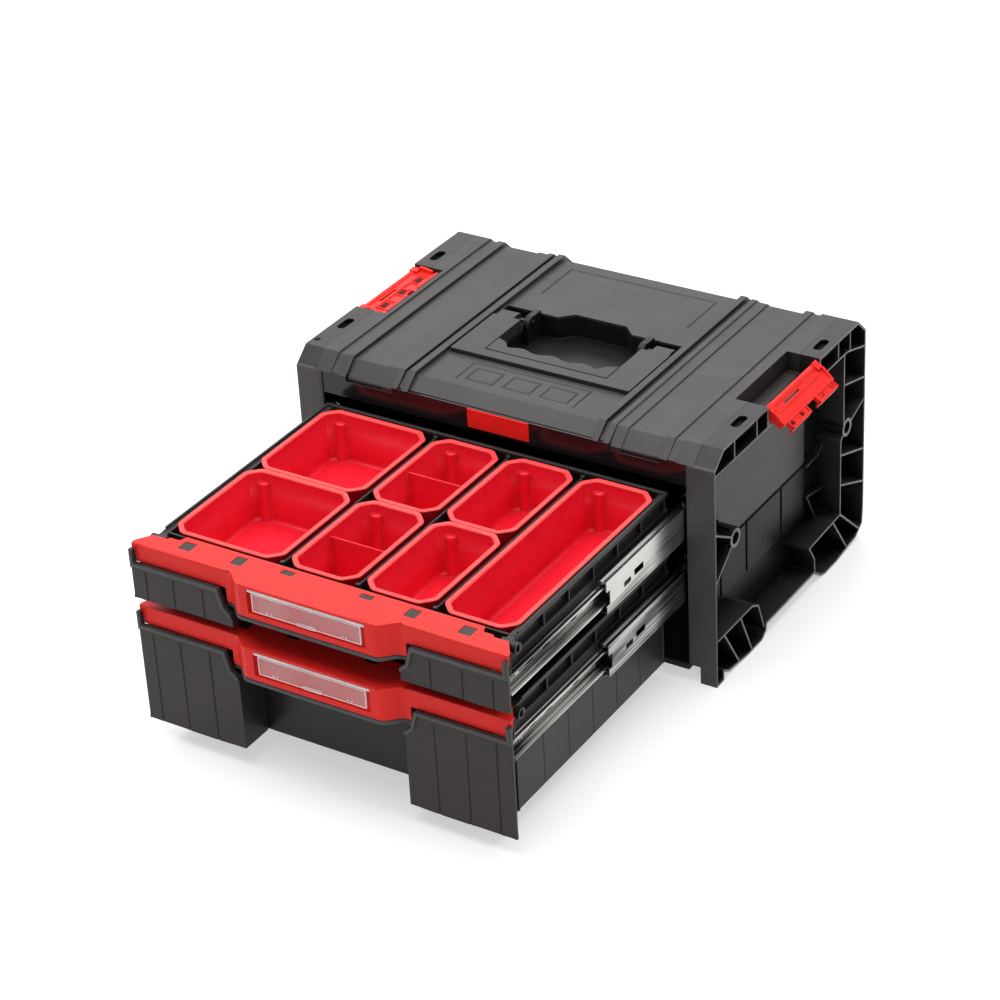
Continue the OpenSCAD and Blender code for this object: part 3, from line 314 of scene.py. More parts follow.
def new_material(name: str) -> tuple:
    """Makes a material.

    Args:
        name: its name.

    Returns:
        The material, its graph and its Principled node.
    """
    material = bpy.data.materials.new(name)
    material.use_nodes = True
    return material, Graph(material.node_tree), material.node_tree.nodes["Principled BSDF"]


class Effects:
    """Shader groups that several finishes share."""

    def __init__(self, middle: float) -> None:
        """Builds each group once.

        Args:
            middle: x of the casing's middle plane.
        """
        self.middle = middle
        self.grain = self._grain()
        self.wear_and_highlight = self._wear_and_highlight()
        self.brushing = self._brushing()
        self.film = self._film()
        self.crevice_shade = self._crevice()
        self.band = self._light_band()
        self.haze = self._haze()

    @staticmethod
    def _close(graph: Graph, given: Sockets, made: Sockets, mask: Socket) -> None:
        """Sends a mask times the group's Amount to its Mask output."""
        graph.wire(graph.math("MULTIPLY", mask, given["Amount"], clamp=True), made["Mask"])

    @staticmethod
    def _roughness_ends(graph: Graph, given: Sockets) -> list:
        """Half the group's Spread to either side of its Roughness."""
        half = graph.math("MULTIPLY", given["Spread"], 0.5)
        return [graph.math(sign, given["Roughness"], half) for sign in ("SUBTRACT", "ADD")]

    def _grain(self) -> Tree:
        """Moulded grain: a fine noise for the height, and a broad one that shifts the roughness.

        Returns:
            The group.
        """
        graph, given, made = new_group(
            "Moulded grain", {"Scale": 900.0, "Roughness": 0.4, "Spread": 0.1},
            ("Height", "Roughness", "Tone"))
        place_at = graph.coordinates()
        fine = graph.noise(place_at, given["Scale"], 3.0, 0.6)
        broad = graph.noise(place_at, 9.0, 3.0, 0.55)
        streak = graph.noise(graph.coordinates((3.0, 16.0, 16.0)), 6.0, 2.0)
        both = graph.weigh(0.7, broad, fine)
        graph.wire(fine, made["Height"])
        graph.wire(graph.span(both, 0.3, 0.7, *self._roughness_ends(graph, given)), made["Roughness"])
        graph.wire(graph.span(graph.math("ADD", broad, streak), 0.7, 1.3), made["Tone"])
        return graph.tree

    def _wear_and_highlight(self) -> Tree:
        """Rubbed edges and their painted highlight: where the rounded normal leaves the flat one, broken up
        by noise.

        Returns:
            The group.
        """
        graph, given, made = new_group(
            "Edge wear", {"Radius": 0.0008, "Amount": 1.0, "Breakup": 260.0}, ("Mask",))
        bevel = graph.add("ShaderNodeBevel", samples=4)
        graph.wire(given["Radius"], bevel.inputs["Radius"])
        flat = graph.add("ShaderNodeNewGeometry")
        dot = graph.add("ShaderNodeVectorMath", operation="DOT_PRODUCT")
        graph.wire(bevel.outputs[0], dot.inputs[0])
        graph.wire(flat.outputs["Normal"], dot.inputs[1])
        edge = graph.span(dot.outputs["Value"], 0.995, 0.8)
        chips = graph.span(graph.noise(graph.coordinates(), given["Breakup"], 3.0), 0.3, 0.62, 0.35, 1.0)
        self._close(graph, given, made, graph.math("MULTIPLY", edge, chips))
        return graph.tree

    def _brushing(self) -> Tree:
        """Brushed sheet: long thin streaks along y, over patches of zinc.

        Returns:
            The group.
        """
        graph, given, made = new_group(
            "Brushed sheet", {"Scale": 900.0, "Roughness": 0.3, "Spread": 0.16},
            ("Height", "Roughness", "Tone"))
        streak = graph.noise(graph.coordinates((1.0, 0.02, 1.0)), given["Scale"], 2.0)
        cloud = graph.noise(graph.coordinates((1.0, 0.15, 1.0)), 40.0, 3.0)
        blend = graph.weigh(0.6, streak, cloud)
        graph.wire(streak, made["Height"])
        graph.wire(graph.span(blend, 0.3, 0.7, *self._roughness_ends(graph, given)), made["Roughness"])
        graph.wire(graph.span(graph.weigh(0.35, streak, cloud), 0.41, 0.57), made["Tone"])
        return graph.tree

    def _film(self) -> Tree:
        """Dust film: a thin cover on faces that look up, thinner where noise clears it.

        Returns:
            The group.
        """
        graph, given, made = new_group("Dust film", {"Amount": 0.2}, ("Mask",))
        facing = graph.add("ShaderNodeNewGeometry")
        split = graph.add("ShaderNodeSeparateXYZ")
        graph.wire(facing.outputs["Normal"], split.inputs[0])
        upward = graph.span(split.outputs["Z"], 0.3, 1.0)
        cloud = graph.span(graph.noise(graph.coordinates(), 22.0, 4.0, 0.6), 0.4, 0.7, 0.2, 1.0)
        self._close(graph, given, made, graph.math("MULTIPLY", upward, cloud))
        return graph.tree

    def _crevice(self) -> Tree:
        """Crevice shade: how closed in a place is, within a stated reach.

        Returns:
            The group.
        """
        graph, given, made = new_group("Crevice shade", {"Reach": 0.02, "Amount": 0.5}, ("Mask",))
        closed = graph.add("ShaderNodeAmbientOcclusion", samples=6)
        graph.wire(given["Reach"], closed.inputs["Distance"])
        self._close(graph, given, made, graph.span(closed.outputs["AO"], 0.97, 0.3))
        return graph.tree

    def _light_band(self) -> Tree:
        """Outer band: masks for painted light on faces further out than Place and above Low, and on those
        ahead of Front.

        Returns:
            The group.
        """
        graph, given, made = new_group(
            "Outer band", {"Place": 0.2247, "Low": OUTSIDE, "Front": OUTSIDE, "Amount": 0.0,
                           "Breakup": 0.45}, ("Mask", "Ahead"))
        place_at = graph.coordinates()
        split = graph.add("ShaderNodeSeparateXYZ")
        graph.wire(place_at, split.inputs[0])
        across = graph.math("ABSOLUTE", graph.math("SUBTRACT", split.outputs["X"], self.middle))
        outside = graph.math("GREATER_THAN", across, given["Place"])
        above = graph.math("GREATER_THAN", split.outputs["Z"], given["Low"])
        outside = graph.math("MULTIPLY", outside, above)
        ahead = graph.math("LESS_THAN", split.outputs["Y"], given["Front"])
        lowest = graph.math("SUBTRACT", 1.0, given["Breakup"])
        cloud = graph.span(graph.noise(place_at, 60.0, 3.0), 0.35, 0.6, lowest, 1.0)
        self._close(graph, given, made, graph.math("MULTIPLY", outside, cloud))
        graph.wire(ahead, made["Ahead"])
        return graph.tree

    def _haze(self) -> Tree:
        """Window haze: upright bands of cloudier plastic between two values.

        Returns:
            The group.
        """
        graph, given, made = new_group("Window haze", {"Clear": 0.16, "Cloudy": 0.42}, ("Value",))
        bands = graph.noise(graph.coordinates((1.0, 1.0, 0.06)), 70.0, 2.0, 0.6)
        broad = graph.noise(graph.coordinates((1.0, 1.0, 0.2)), 18.0, 1.0)
        both = graph.weigh(0.6, bands, broad)
        graph.wire(graph.span(both, 0.38, 0.64, given["Clear"], given["Cloudy"]), made["Value"])
        return graph.tree


@dataclass(frozen=True)
class Plastic:
    """A moulded plastic.

    Attributes:
        name: name of the material.
        color: main colour, linear.
        shade: colour of the broad darker patches.
        edge: colour of rubbed edges and of the painted highlight along them.
        roughness: middle of the roughness.
        spread: width of the roughness range.
        relief: height of the grain in metres.
        wear_and_highlight: share of rubbed edges with their painted highlight.
        dust: share of dust on faces that look up.
        coat: weight of a glossy top layer.
        specular: specular level.
        glow: share of light carried under the surface.
        reach: width in metres of the rubbed and highlighted edges.
        crevice_shade: share of painted shade in closed-in places.
        depth: distance in metres within which a place counts as closed in.
        deep: the shade colour is times this in closed-in places, which gives the painted shade there; above 1
            it paints light into grooves instead.
        band: share of the band's painted light on the outermost faces of the sides.
        band_place: distance in metres from the middle plane past which the band lies.
        band_low: z in metres above which it lies.
        band_breakup: share by which noise thins it.
        band_light_color: its colour, linear, which paints light on those faces.
        front: y in metres in front of which the front colour lies.
        front_light_color: colour of the front faces, linear, which paints light on them.
    """

    name: str
    color: tuple
    shade: tuple
    edge: tuple
    roughness: float = 0.4
    spread: float = 0.12
    relief: float = 0.00003
    wear_and_highlight: float = 0.3
    dust: float = 0.0
    coat: float = 0.0
    specular: float = 0.5
    glow: float = 0.0
    reach: float = 0.0008
    crevice_shade: float = 0.3
    depth: float = 0.012
    deep: float = 0.25
    band: float = 0.0
    band_place: float = 0.2247
    band_low: float = OUTSIDE
    band_breakup: float = 0.45
    band_light_color: tuple = (0.19, 0.183, 0.18)
    front: float = OUTSIDE
    front_light_color: tuple = (0.078, 0.074, 0.075)

    def build(self, effects: Effects) -> Material:
        """Builds the material.

        Args:
            effects: the shared shader groups.

        Returns:
            The material.
        """
        material, graph, shader = new_material(self.name)
        grain = graph.group(effects.grain, Scale=900.0, Roughness=self.roughness, Spread=self.spread)
        wear_and_highlight = graph.group(effects.wear_and_highlight, Amount=self.wear_and_highlight, Radius=self.reach)
        crevice_shade = graph.group(effects.crevice_shade, Reach=self.depth, Amount=self.crevice_shade)
        band = graph.group(effects.band, Amount=self.band, Place=self.band_place, Low=self.band_low,
                           Front=self.front, Breakup=self.band_breakup)
        film = graph.group(effects.film, Amount=self.dust)
        crevice_shade_color = tuple(self.deep * part for part in self.shade)
        color = graph.mix(grain["Tone"], (*self.shade, 1), (*self.color, 1))
        # Layers over the tone: painted shade in closed-in places, painted light on the outer band and on
        # front faces, rubbed edges with a painted highlight, then dust.
        for mask, tint in (
                (crevice_shade["Mask"], crevice_shade_color), (band["Mask"], self.band_light_color),
                (band["Ahead"], self.front_light_color), (wear_and_highlight["Mask"], self.edge),
                (film["Mask"], DUST_COLOR)):
            color = graph.mix(mask, color, (*tint, 1))
        graph.wire(color, shader.inputs["Base Color"])
        graph.wire(grain["Roughness"], shader.inputs["Roughness"])
        graph.wire(graph.bump(grain["Height"], 0.35, self.relief), shader.inputs["Normal"])
        set_inputs(shader, {
            "Specular IOR Level": self.specular, "Coat Weight": self.coat, "Coat Roughness": 0.08,
            "Subsurface Weight": self.glow, "Subsurface Radius": (0.004, 0.0008, 0.0006),
            "Subsurface Scale": 1.0})
        return material


@dataclass(frozen=True)
class Metal:
    """A plated or bright metal.

    Attributes:
        name: name of the material.
        color: main colour, linear.
        shade: colour of the duller patches.
        roughness: middle of the roughness.
        spread: width of the roughness range.
        streaks: scale of the brushing, per metre.
    """

    name: str
    color: tuple
    shade: tuple
    roughness: float
    spread: float
    streaks: float

    def build(self, effects: Effects) -> Material:
        """Builds the material.

        Args:
            effects: the shared shader groups.

        Returns:
            The material.
        """
        material, graph, shader = new_material(self.name)
        brushing = graph.group(effects.brushing, Scale=self.streaks, Roughness=self.roughness,
                               Spread=self.spread)
        # Rubbed edges with a painted highlight, mixed towards pale grey.
        wear_and_highlight = graph.group(effects.wear_and_highlight, Amount=0.5, Radius=0.0003)
        body = graph.mix(brushing["Tone"], (*self.shade, 1), (*self.color, 1))
        graph.wire(graph.mix(wear_and_highlight["Mask"], body, (0.9, 0.9, 0.9, 1)), shader.inputs["Base Color"])
        graph.wire(brushing["Roughness"], shader.inputs["Roughness"])
        graph.wire(graph.bump(brushing["Height"], 0.05, 0.00001), shader.inputs["Normal"])
        shader.inputs["Metallic"].default_value = 1.0
        return material


@dataclass(frozen=True)
class ClearPlastic:
    """The clear, slightly milky plastic of the label windows.

    Attributes:
        name: name of the material.
        clear: cover of its clearest bands.
        cloudy: cover of its cloudiest bands.
        roughness: middle of the roughness.
    """

    name: str
    clear: float
    cloudy: float
    roughness: float

    def build(self, effects: Effects) -> Material:
        """Builds the material.

        Args:
            effects: the shared shader groups.

        Returns:
            The material.
        """
        material, graph, shader = new_material(self.name)
        grain = graph.group(effects.grain, Scale=300.0, Roughness=self.roughness, Spread=0.08)
        haze = graph.group(effects.haze, Clear=self.clear, Cloudy=self.cloudy)
        tint = graph.mix(grain["Tone"], (0.93, 0.9, 0.9, 1), (0.98, 0.96, 0.96, 1))
        graph.wire(tint, shader.inputs["Base Color"])
        graph.wire(grain["Roughness"], shader.inputs["Roughness"])
        graph.wire(haze["Value"], shader.inputs["Alpha"])
        shader.inputs["IOR"].default_value = 1.49
        return material


class Finishes:
    """Every finish of the box."""

    def __init__(self, middle: float, bin_top: float) -> None:
        """Builds the shared effects and the materials.

        Args:
            middle: x of the casing's middle plane.
            bin_top: z of the top of the bins.
        """
        effects = Effects(middle)
        front_faces = (CASING_FRONT + 2.0) * MM
        side_joint = 116.4 * MM
        bin_rims = bin_top - 1.2 * MM
        # The case plastic gets painted shade in its closed-in places.
        self.shell = Plastic(
            "Moulded case plastic", (0.036, 0.0338, 0.0342), (0.027, 0.0252, 0.0256), (0.13, 0.127, 0.126),
            roughness=0.43, spread=0.14, relief=0.00006, wear_and_highlight=0.4, dust=0.03, reach=0.0009,
            crevice_shade=0.9, depth=0.007, deep=0.15, specular=0.32).build(effects)
        # Painted shade closes in the rim's cells, a painted highlight lies on its outermost faces, and
        # painted light on its front faces.
        self.rim = Plastic(
            "Side rim plastic", (0.04, 0.0378, 0.038), (0.031, 0.029, 0.0292), (0.34, 0.33, 0.32),
            roughness=0.34, wear_and_highlight=0.55, reach=0.0006, crevice_shade=1.0, depth=0.03, deep=0.1,
            specular=0.2, band=1.0, front=front_faces).build(effects)
        # Painted shade: a near-black side plate, with painted light on its plateau above the joint and on its
        # front faces.
        self.panel = Plastic(
            "Side plate plastic", (0.006, 0.0056, 0.0055), (0.004, 0.0037, 0.0036), (0.1, 0.098, 0.095),
            roughness=0.32, wear_and_highlight=0.4, crevice_shade=0.5, depth=0.02, specular=0.1, band=1.0, band_place=0.2,
            band_low=side_joint, band_breakup=0.12, band_light_color=(0.066, 0.063, 0.061),
            front=front_faces).build(effects)
        # Painted light in the grooves offsets their real shadow, and the edges take a blue-grey painted
        # highlight.
        self.pads = Plastic(
            "Drawer front plastic", (0.034, 0.0288, 0.0274), (0.028, 0.0237, 0.0224), (0.075, 0.078, 0.08),
            roughness=0.45, spread=0.14, relief=0.00005, wear_and_highlight=0.45, reach=0.0014,
            crevice_shade=0.85, depth=0.003, deep=2.4, specular=0.25).build(effects)
        # Painted shade: a darker copy of the case plastic for the handle housing, tube bosses and base panel,
        # with a painted highlight band on outermost faces.
        self.recess_shade = Plastic(
            "Recess plastic", (0.0125, 0.012, 0.0125), (0.009, 0.0086, 0.009), (0.15, 0.145, 0.14),
            roughness=0.32, wear_and_highlight=0.4, crevice_shade=0.6, depth=0.02, specular=0.18, band=1.0).build(effects)
        self.fascia = Plastic(
            "Glossy bar plastic", (0.012, 0.011, 0.012), (0.009, 0.008, 0.009), (0.05, 0.05, 0.05),
            roughness=0.2, spread=0.06, relief=0.00001, wear_and_highlight=0.1, dust=0.01, coat=0.1,
            specular=0.3).build(effects)
        # The tray gets painted shade in closed-in places and a painted highlight on its edges.
        self.tray = Plastic(
            "Tray plastic", (0.026, 0.0238, 0.0232), (0.019, 0.0175, 0.017), (0.14, 0.145, 0.148),
            roughness=0.34, spread=0.14, wear_and_highlight=0.6, dust=0.01, reach=0.001, crevice_shade=0.7, depth=0.01,
            specular=0.22).build(effects)
        self.red = Plastic(
            "Red trim plastic", (0.86, 0.026, 0.02), (0.8, 0.019, 0.016), (0.92, 0.13, 0.1),
            spread=0.1, relief=0.00002, wear_and_highlight=0.25, specular=0.2, glow=0.1, crevice_shade=0.25,
            depth=0.006).build(effects)
        # The bins' rims carry a lighter red band, a painted highlight.
        self.insert = Plastic(
            "Bin plastic", (0.78, 0.014, 0.033), (0.7, 0.009, 0.026), (0.95, 0.17, 0.15),
            roughness=0.3, spread=0.1, relief=0.00001, wear_and_highlight=0.45, glow=0.15, reach=0.0015,
            specular=0.25, crevice_shade=0.2, depth=0.006, band=0.75, band_place=OUTSIDE, band_low=bin_rims,
            band_breakup=0.2, band_light_color=(0.95, 0.085, 0.075)).build(effects)
        # Painted reflection: the rail's streaks and patches run from bright zinc to a near-black shade
        # colour.
        self.rail = Metal(
            "Zinc plated rail", (0.58, 0.58, 0.56), (0.05, 0.052, 0.05), 0.2, 0.08, 420.0).build(effects)
        self.steel = Metal(
            "Bright steel", (0.6, 0.6, 0.61), (0.4, 0.4, 0.41), 0.2, 0.08, 400.0).build(effects)
        self.window = ClearPlastic("Window plastic", 0.12, 0.19, 0.1).build(effects)
        self.outline = ClearPlastic("Window edge plastic", 0.7, 0.95, 0.2).build(effects)
        # The edging's lighter blue-grey is a painted highlight along its rounded top.
        self.bead = Plastic(
            "Drawer front edging", (0.06, 0.066, 0.07), (0.045, 0.05, 0.053), (0.16, 0.18, 0.19),
            roughness=0.36, spread=0.1, wear_and_highlight=0.2, crevice_shade=0.1, depth=0.004, specular=0.3).build(effects)
        # Painted shade: near black for the insides of holes and slots.
        self.hole = Plastic(
            "Deep hole", (0.004, 0.004, 0.004), (0.003, 0.003, 0.003), (0.02, 0.02, 0.02),
            roughness=0.6, wear_and_highlight=0.0, specular=0.1).build(effects)
        self.pin = Metal(
            "Dark steel", (0.1, 0.1, 0.1), (0.06, 0.06, 0.06), 0.4, 0.1, 400.0).build(effects)
        # Painted shade: a dark copy of the red for the shaded pockets of the latches.
        self.pocket_shade = Plastic(
            "Red plastic in shade", (0.1, 0.004, 0.004), (0.07, 0.003, 0.003), (0.4, 0.03, 0.03),
            roughness=0.5, wear_and_highlight=0.2, specular=0.08).build(effects)


# ------------------------------------------------------------------ mesh building


def rounded_loop(corners: np.ndarray, radius: float, steps: int = 5) -> np.ndarray:
    """A closed polygon with rounded corners.

    At each corner the arc touches both sides at radius * tan(turn / 2) from the corner, and its points
    run round the arc's centre by equal angles.

    Args:
        corners: array of shape (n, 2), anticlockwise.
        radius: radius of the arcs.
        steps: points on each arc less one.

    Returns:
        Array of shape (n * (steps + 1), 2).
    """
    before = corners - np.roll(corners, 1, 0)
    after = np.roll(corners, -1, 0) - corners
    before /= np.linalg.norm(before, axis=1)[:, None]
    after /= np.linalg.norm(after, axis=1)[:, None]
    turn = np.arctan2(before[:, 0] * after[:, 1] - before[:, 1] * after[:, 0], (before * after).sum(1))
    start = corners - before * (radius * np.tan(np.abs(turn) / 2))[:, None]
    inward = np.stack([-before[:, 1], before[:, 0]], 1) * np.sign(turn)[:, None]
    centre = start + inward * radius
    angle = np.arctan2(-inward[:, 1], -inward[:, 0])[:, None] + turn[:, None] * np.linspace(0, 1, steps + 1)
    ring = centre[:, None, :] + radius * np.stack([np.cos(angle), np.sin(angle)], -1)
    return ring.reshape(-1, 2)


@dataclass
class Surface:
    """Collects closed rings of points and their caps into one mesh.

    Attributes:
        points: an array of points for each call of grid.
        faces: the points' numbers round each face.
        count: number of points.
    """

    points: list = field(default_factory=list)
    faces: list = field(default_factory=list)
    count: int = 0

    def grid(self, places: np.ndarray) -> None:
        """Adds rings of points with quads between them, and closes the first and the last ring.

        Args:
            places: array of shape (rings, points of a ring, 3).
        """
        rows, cols, _ = places.shape
        row, col = np.meshgrid(np.arange(rows - 1) * cols + self.count, np.arange(cols), indexing="ij")
        right = (col + 1) % cols
        quads = np.stack([row + col, row + right, row + cols + right, row + cols + col], -1)
        last = self.count + (rows - 1) * cols
        self.points.append(places.reshape(-1, 3))
        self.faces.extend(map(tuple, quads.reshape(-1, 4)))
        self.faces.append(tuple(range(self.count + cols - 1, self.count - 1, -1)))
        self.faces.append(tuple(range(last, last + cols)))
        self.count += rows * cols

    def build(self, name: str, material: Material, node: str, slot: Slot, sharp: float = 40.0,
              replaces: bool = False) -> None:
        """Turns what was collected into an object at the origin, and ties it to a node.

        Args:
            name: the object's name.
            material: its finish.
            node: the node whose body it rides on.
            slot: its slot in the record; not used.
            sharp: angle in degrees past which an edge is shown sharp.
            replaces: whether it stands for the node.
        """
        mesh = bpy.data.meshes.new(name)
        mesh.from_pydata(np.concatenate(self.points).tolist(), [], self.faces)
        shape = bmesh.new()
        shape.from_mesh(mesh)
        bmesh.ops.remove_doubles(shape, verts=shape.verts, dist=WELD)
        bmesh.ops.recalc_face_normals(shape, faces=shape.faces)
        shape.to_mesh(mesh)
        shape.free()
        place(show(name, mesh, material, sharp), node, replaces)


def show(name: str, mesh: bpy.types.Mesh, material: Material, sharp: float) -> Piece:
    """Puts a mesh into the scene with smooth shading and a finish.

    Args:
        name: the object's name.
        mesh: its mesh.
        material: its finish.
        sharp: angle in degrees past which an edge is shown sharp.

    Returns:
        The object.
    """
    mesh.materials.clear()
    mesh.materials.append(material)
    mesh.polygons.foreach_set("use_smooth", np.ones(len(mesh.polygons), bool))
    mesh.polygons.foreach_set("material_index", np.zeros(len(mesh.polygons), np.int32))
    mesh.set_sharp_from_angle(angle=math.radians(sharp))
    made = bpy.data.objects.new(name, mesh)
    bpy.context.scene.collection.objects.link(made)
    return made


def dress(node: str, material: Material) -> None:
    """Gives a node that stays as it is its finish.

    Args:
        node: name of the node.
        material: its finish.
    """
    made = frame["nodes"][node]
    made.data.materials.clear()
    made.data.materials.append(material)
    LOG.info("dressed %s", node)


def place(made: Piece, node: str, replaces: bool = True) -> None:
    """Ties a new piece to a node's body.

    Args:
        made: the piece.
        node: the node whose body it rides on.
        replaces: whether it stands for the node.
    """
    body = frame["nodes"][node]["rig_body"]
    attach(made, body)
    if replaces:
        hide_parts(node)
    LOG.info("built %s on %s", made.name, body)


def soften(node: str, width: float, material: Material, segments: int = 2,
           angle: float = 32.0) -> None:
    """Shows a node through a merged copy with rounded edges.

    Args:
        node: name of the node.
        width: width of the rounding, in millimetres.
        material: its finish.
        segments: steps across the rounding.
        angle: angle in degrees past which an edge is rounded.
    """
    shape = bmesh.new()
    shape.from_mesh(frame["nodes"][node].data)
    bmesh.ops.remove_doubles(shape, verts=shape.verts, dist=MERGE)
    mesh = bpy.data.meshes.new(f"{node}_rounded")
    shape.to_mesh(mesh)
    shape.free()
    made = show(f"{node}_rounded", mesh, material, 180.0)
    bevel = made.modifiers.new("Rounded edges", "BEVEL")
    bevel.width = width * MM
    bevel.segments = segments
    bevel.limit_method = "ANGLE"
    bevel.angle_limit = math.radians(angle)
    bevel.use_clamp_overlap = False
    bevel.miter_outer = "MITER_ARC"
    level = made.modifiers.new("Weighted normals", "WEIGHTED_NORMAL")
    level.weight = 90
    place(made, node)


def slab_rings(low: Sequence[float], high: Sequence[float], edge: float) -> np.ndarray:
    """Rings of an upright-sided plate, drawn in by edge at its bottom and top.

    Args:
        low: its lowest corner.
        high: its highest corner.
        edge: width of the softening.

    Returns:
        Array of shape (4, 4, 3).
    """
    rings = []
    for inset, height in ((edge, low[2]), (0.0, low[2] + edge), (0.0, high[2] - edge), (edge, high[2])):
        x0, x1, y0, y1 = low[0] + inset, high[0] - inset, low[1] + inset, high[1] - inset
        rings.append([[x0, y0, height], [x1, y0, height], [x1, y1, height], [x0, y1, height]])
    return np.array(rings)


def lip_line(corners: np.ndarray, radius: float = 11.0, steps: int = 6) -> np.ndarray:
    """An open line with its inner corners rounded.

    Each arc touches its two sides at radius * tan(turn / 2) from the corner, or at 0.45 of the shorter
    side where that is less, and follows the quadratic curve over both points and the corner.

    Args:
        corners: array of shape (n, 2).
        radius: radius of the arcs.
        steps: points on each arc less one.

    Returns:
        Array of shape (m, 2).
    """
    share = np.linspace(0, 1, steps + 1)[:, None]
    line = [corners[:1]]
    for before, corner, after in zip(corners[:-2], corners[1:-1], corners[2:]):
        back, ahead = before - corner, after - corner
        lengths = np.linalg.norm(back), np.linalg.norm(ahead)
        cosine = -(back @ ahead) / (lengths[0] * lengths[1])
        reach = min(radius * math.tan(math.acos(max(-1.0, min(1.0, cosine))) / 2), 0.45 * min(lengths))
        start, end = corner + back / lengths[0] * reach, corner + ahead / lengths[1] * reach
        line.append((1 - share) ** 2 * start + 2 * share * (1 - share) * corner + share ** 2 * end)
    line.append(corners[-1:])
    return np.concatenate(line)


def path_normals(path: np.ndarray) -> np.ndarray:
    """Normals of an open path, to the left of its way.

    At an inner point the normals of both sides are added and the sum is divided by the square of the
    cosine of half the turn, so that a band along the path keeps its width round the bends.

    Args:
        path: array of shape (n, 2).

    Returns:
        Array of shape (n, 2).
    """
    step = np.diff(path, axis=0)
    step /= np.linalg.norm(step, axis=1)[:, None]
    left = np.stack([-step[:, 1], step[:, 0]], 1)
    both = np.concatenate([left[:1], (left[:-1] + left[1:]) / 2, left[-1:]])
    return both / (both ** 2).sum(1)[:, None]


def bead_along(surface: Surface, path: np.ndarray, across: np.ndarray, out: np.ndarray, width: float,
               height: float) -> None:
    """Adds a half-round bead along a path on a face.

    A point of the bead at angle a from 0 to 180 degrees stands width / 2 * cos(a) across the path and
    height * sin(a) off the face. Two more points under the face close each ring.

    Args:
        surface: where it goes.
        path: array of shape (n, 3).
        across: the ways across the path, of shape (n, 3) or (1, 3).
        out: the ways off the face, of shape (n, 3) or (1, 3).
        width: width of the bead.
        height: height of the bead.
    """
    depth = 0.3 * MM
    angle = np.linspace(0, math.pi, 9)
    side = np.concatenate([[0.5], 0.5 * np.cos(angle), [-0.5]])[:, None] * width
    lift = np.concatenate([[-depth], height * np.sin(angle), [-depth]])[:, None]
    surface.grid(path[:, None] + side * across[:, None] + lift * out[:, None])


@dataclass
class Assembly:
    """A sub-assembly.

    Attributes:
        finishes: every finish of the box.
    """

    finishes: Finishes


# ------------------------------------------------------------------ bins


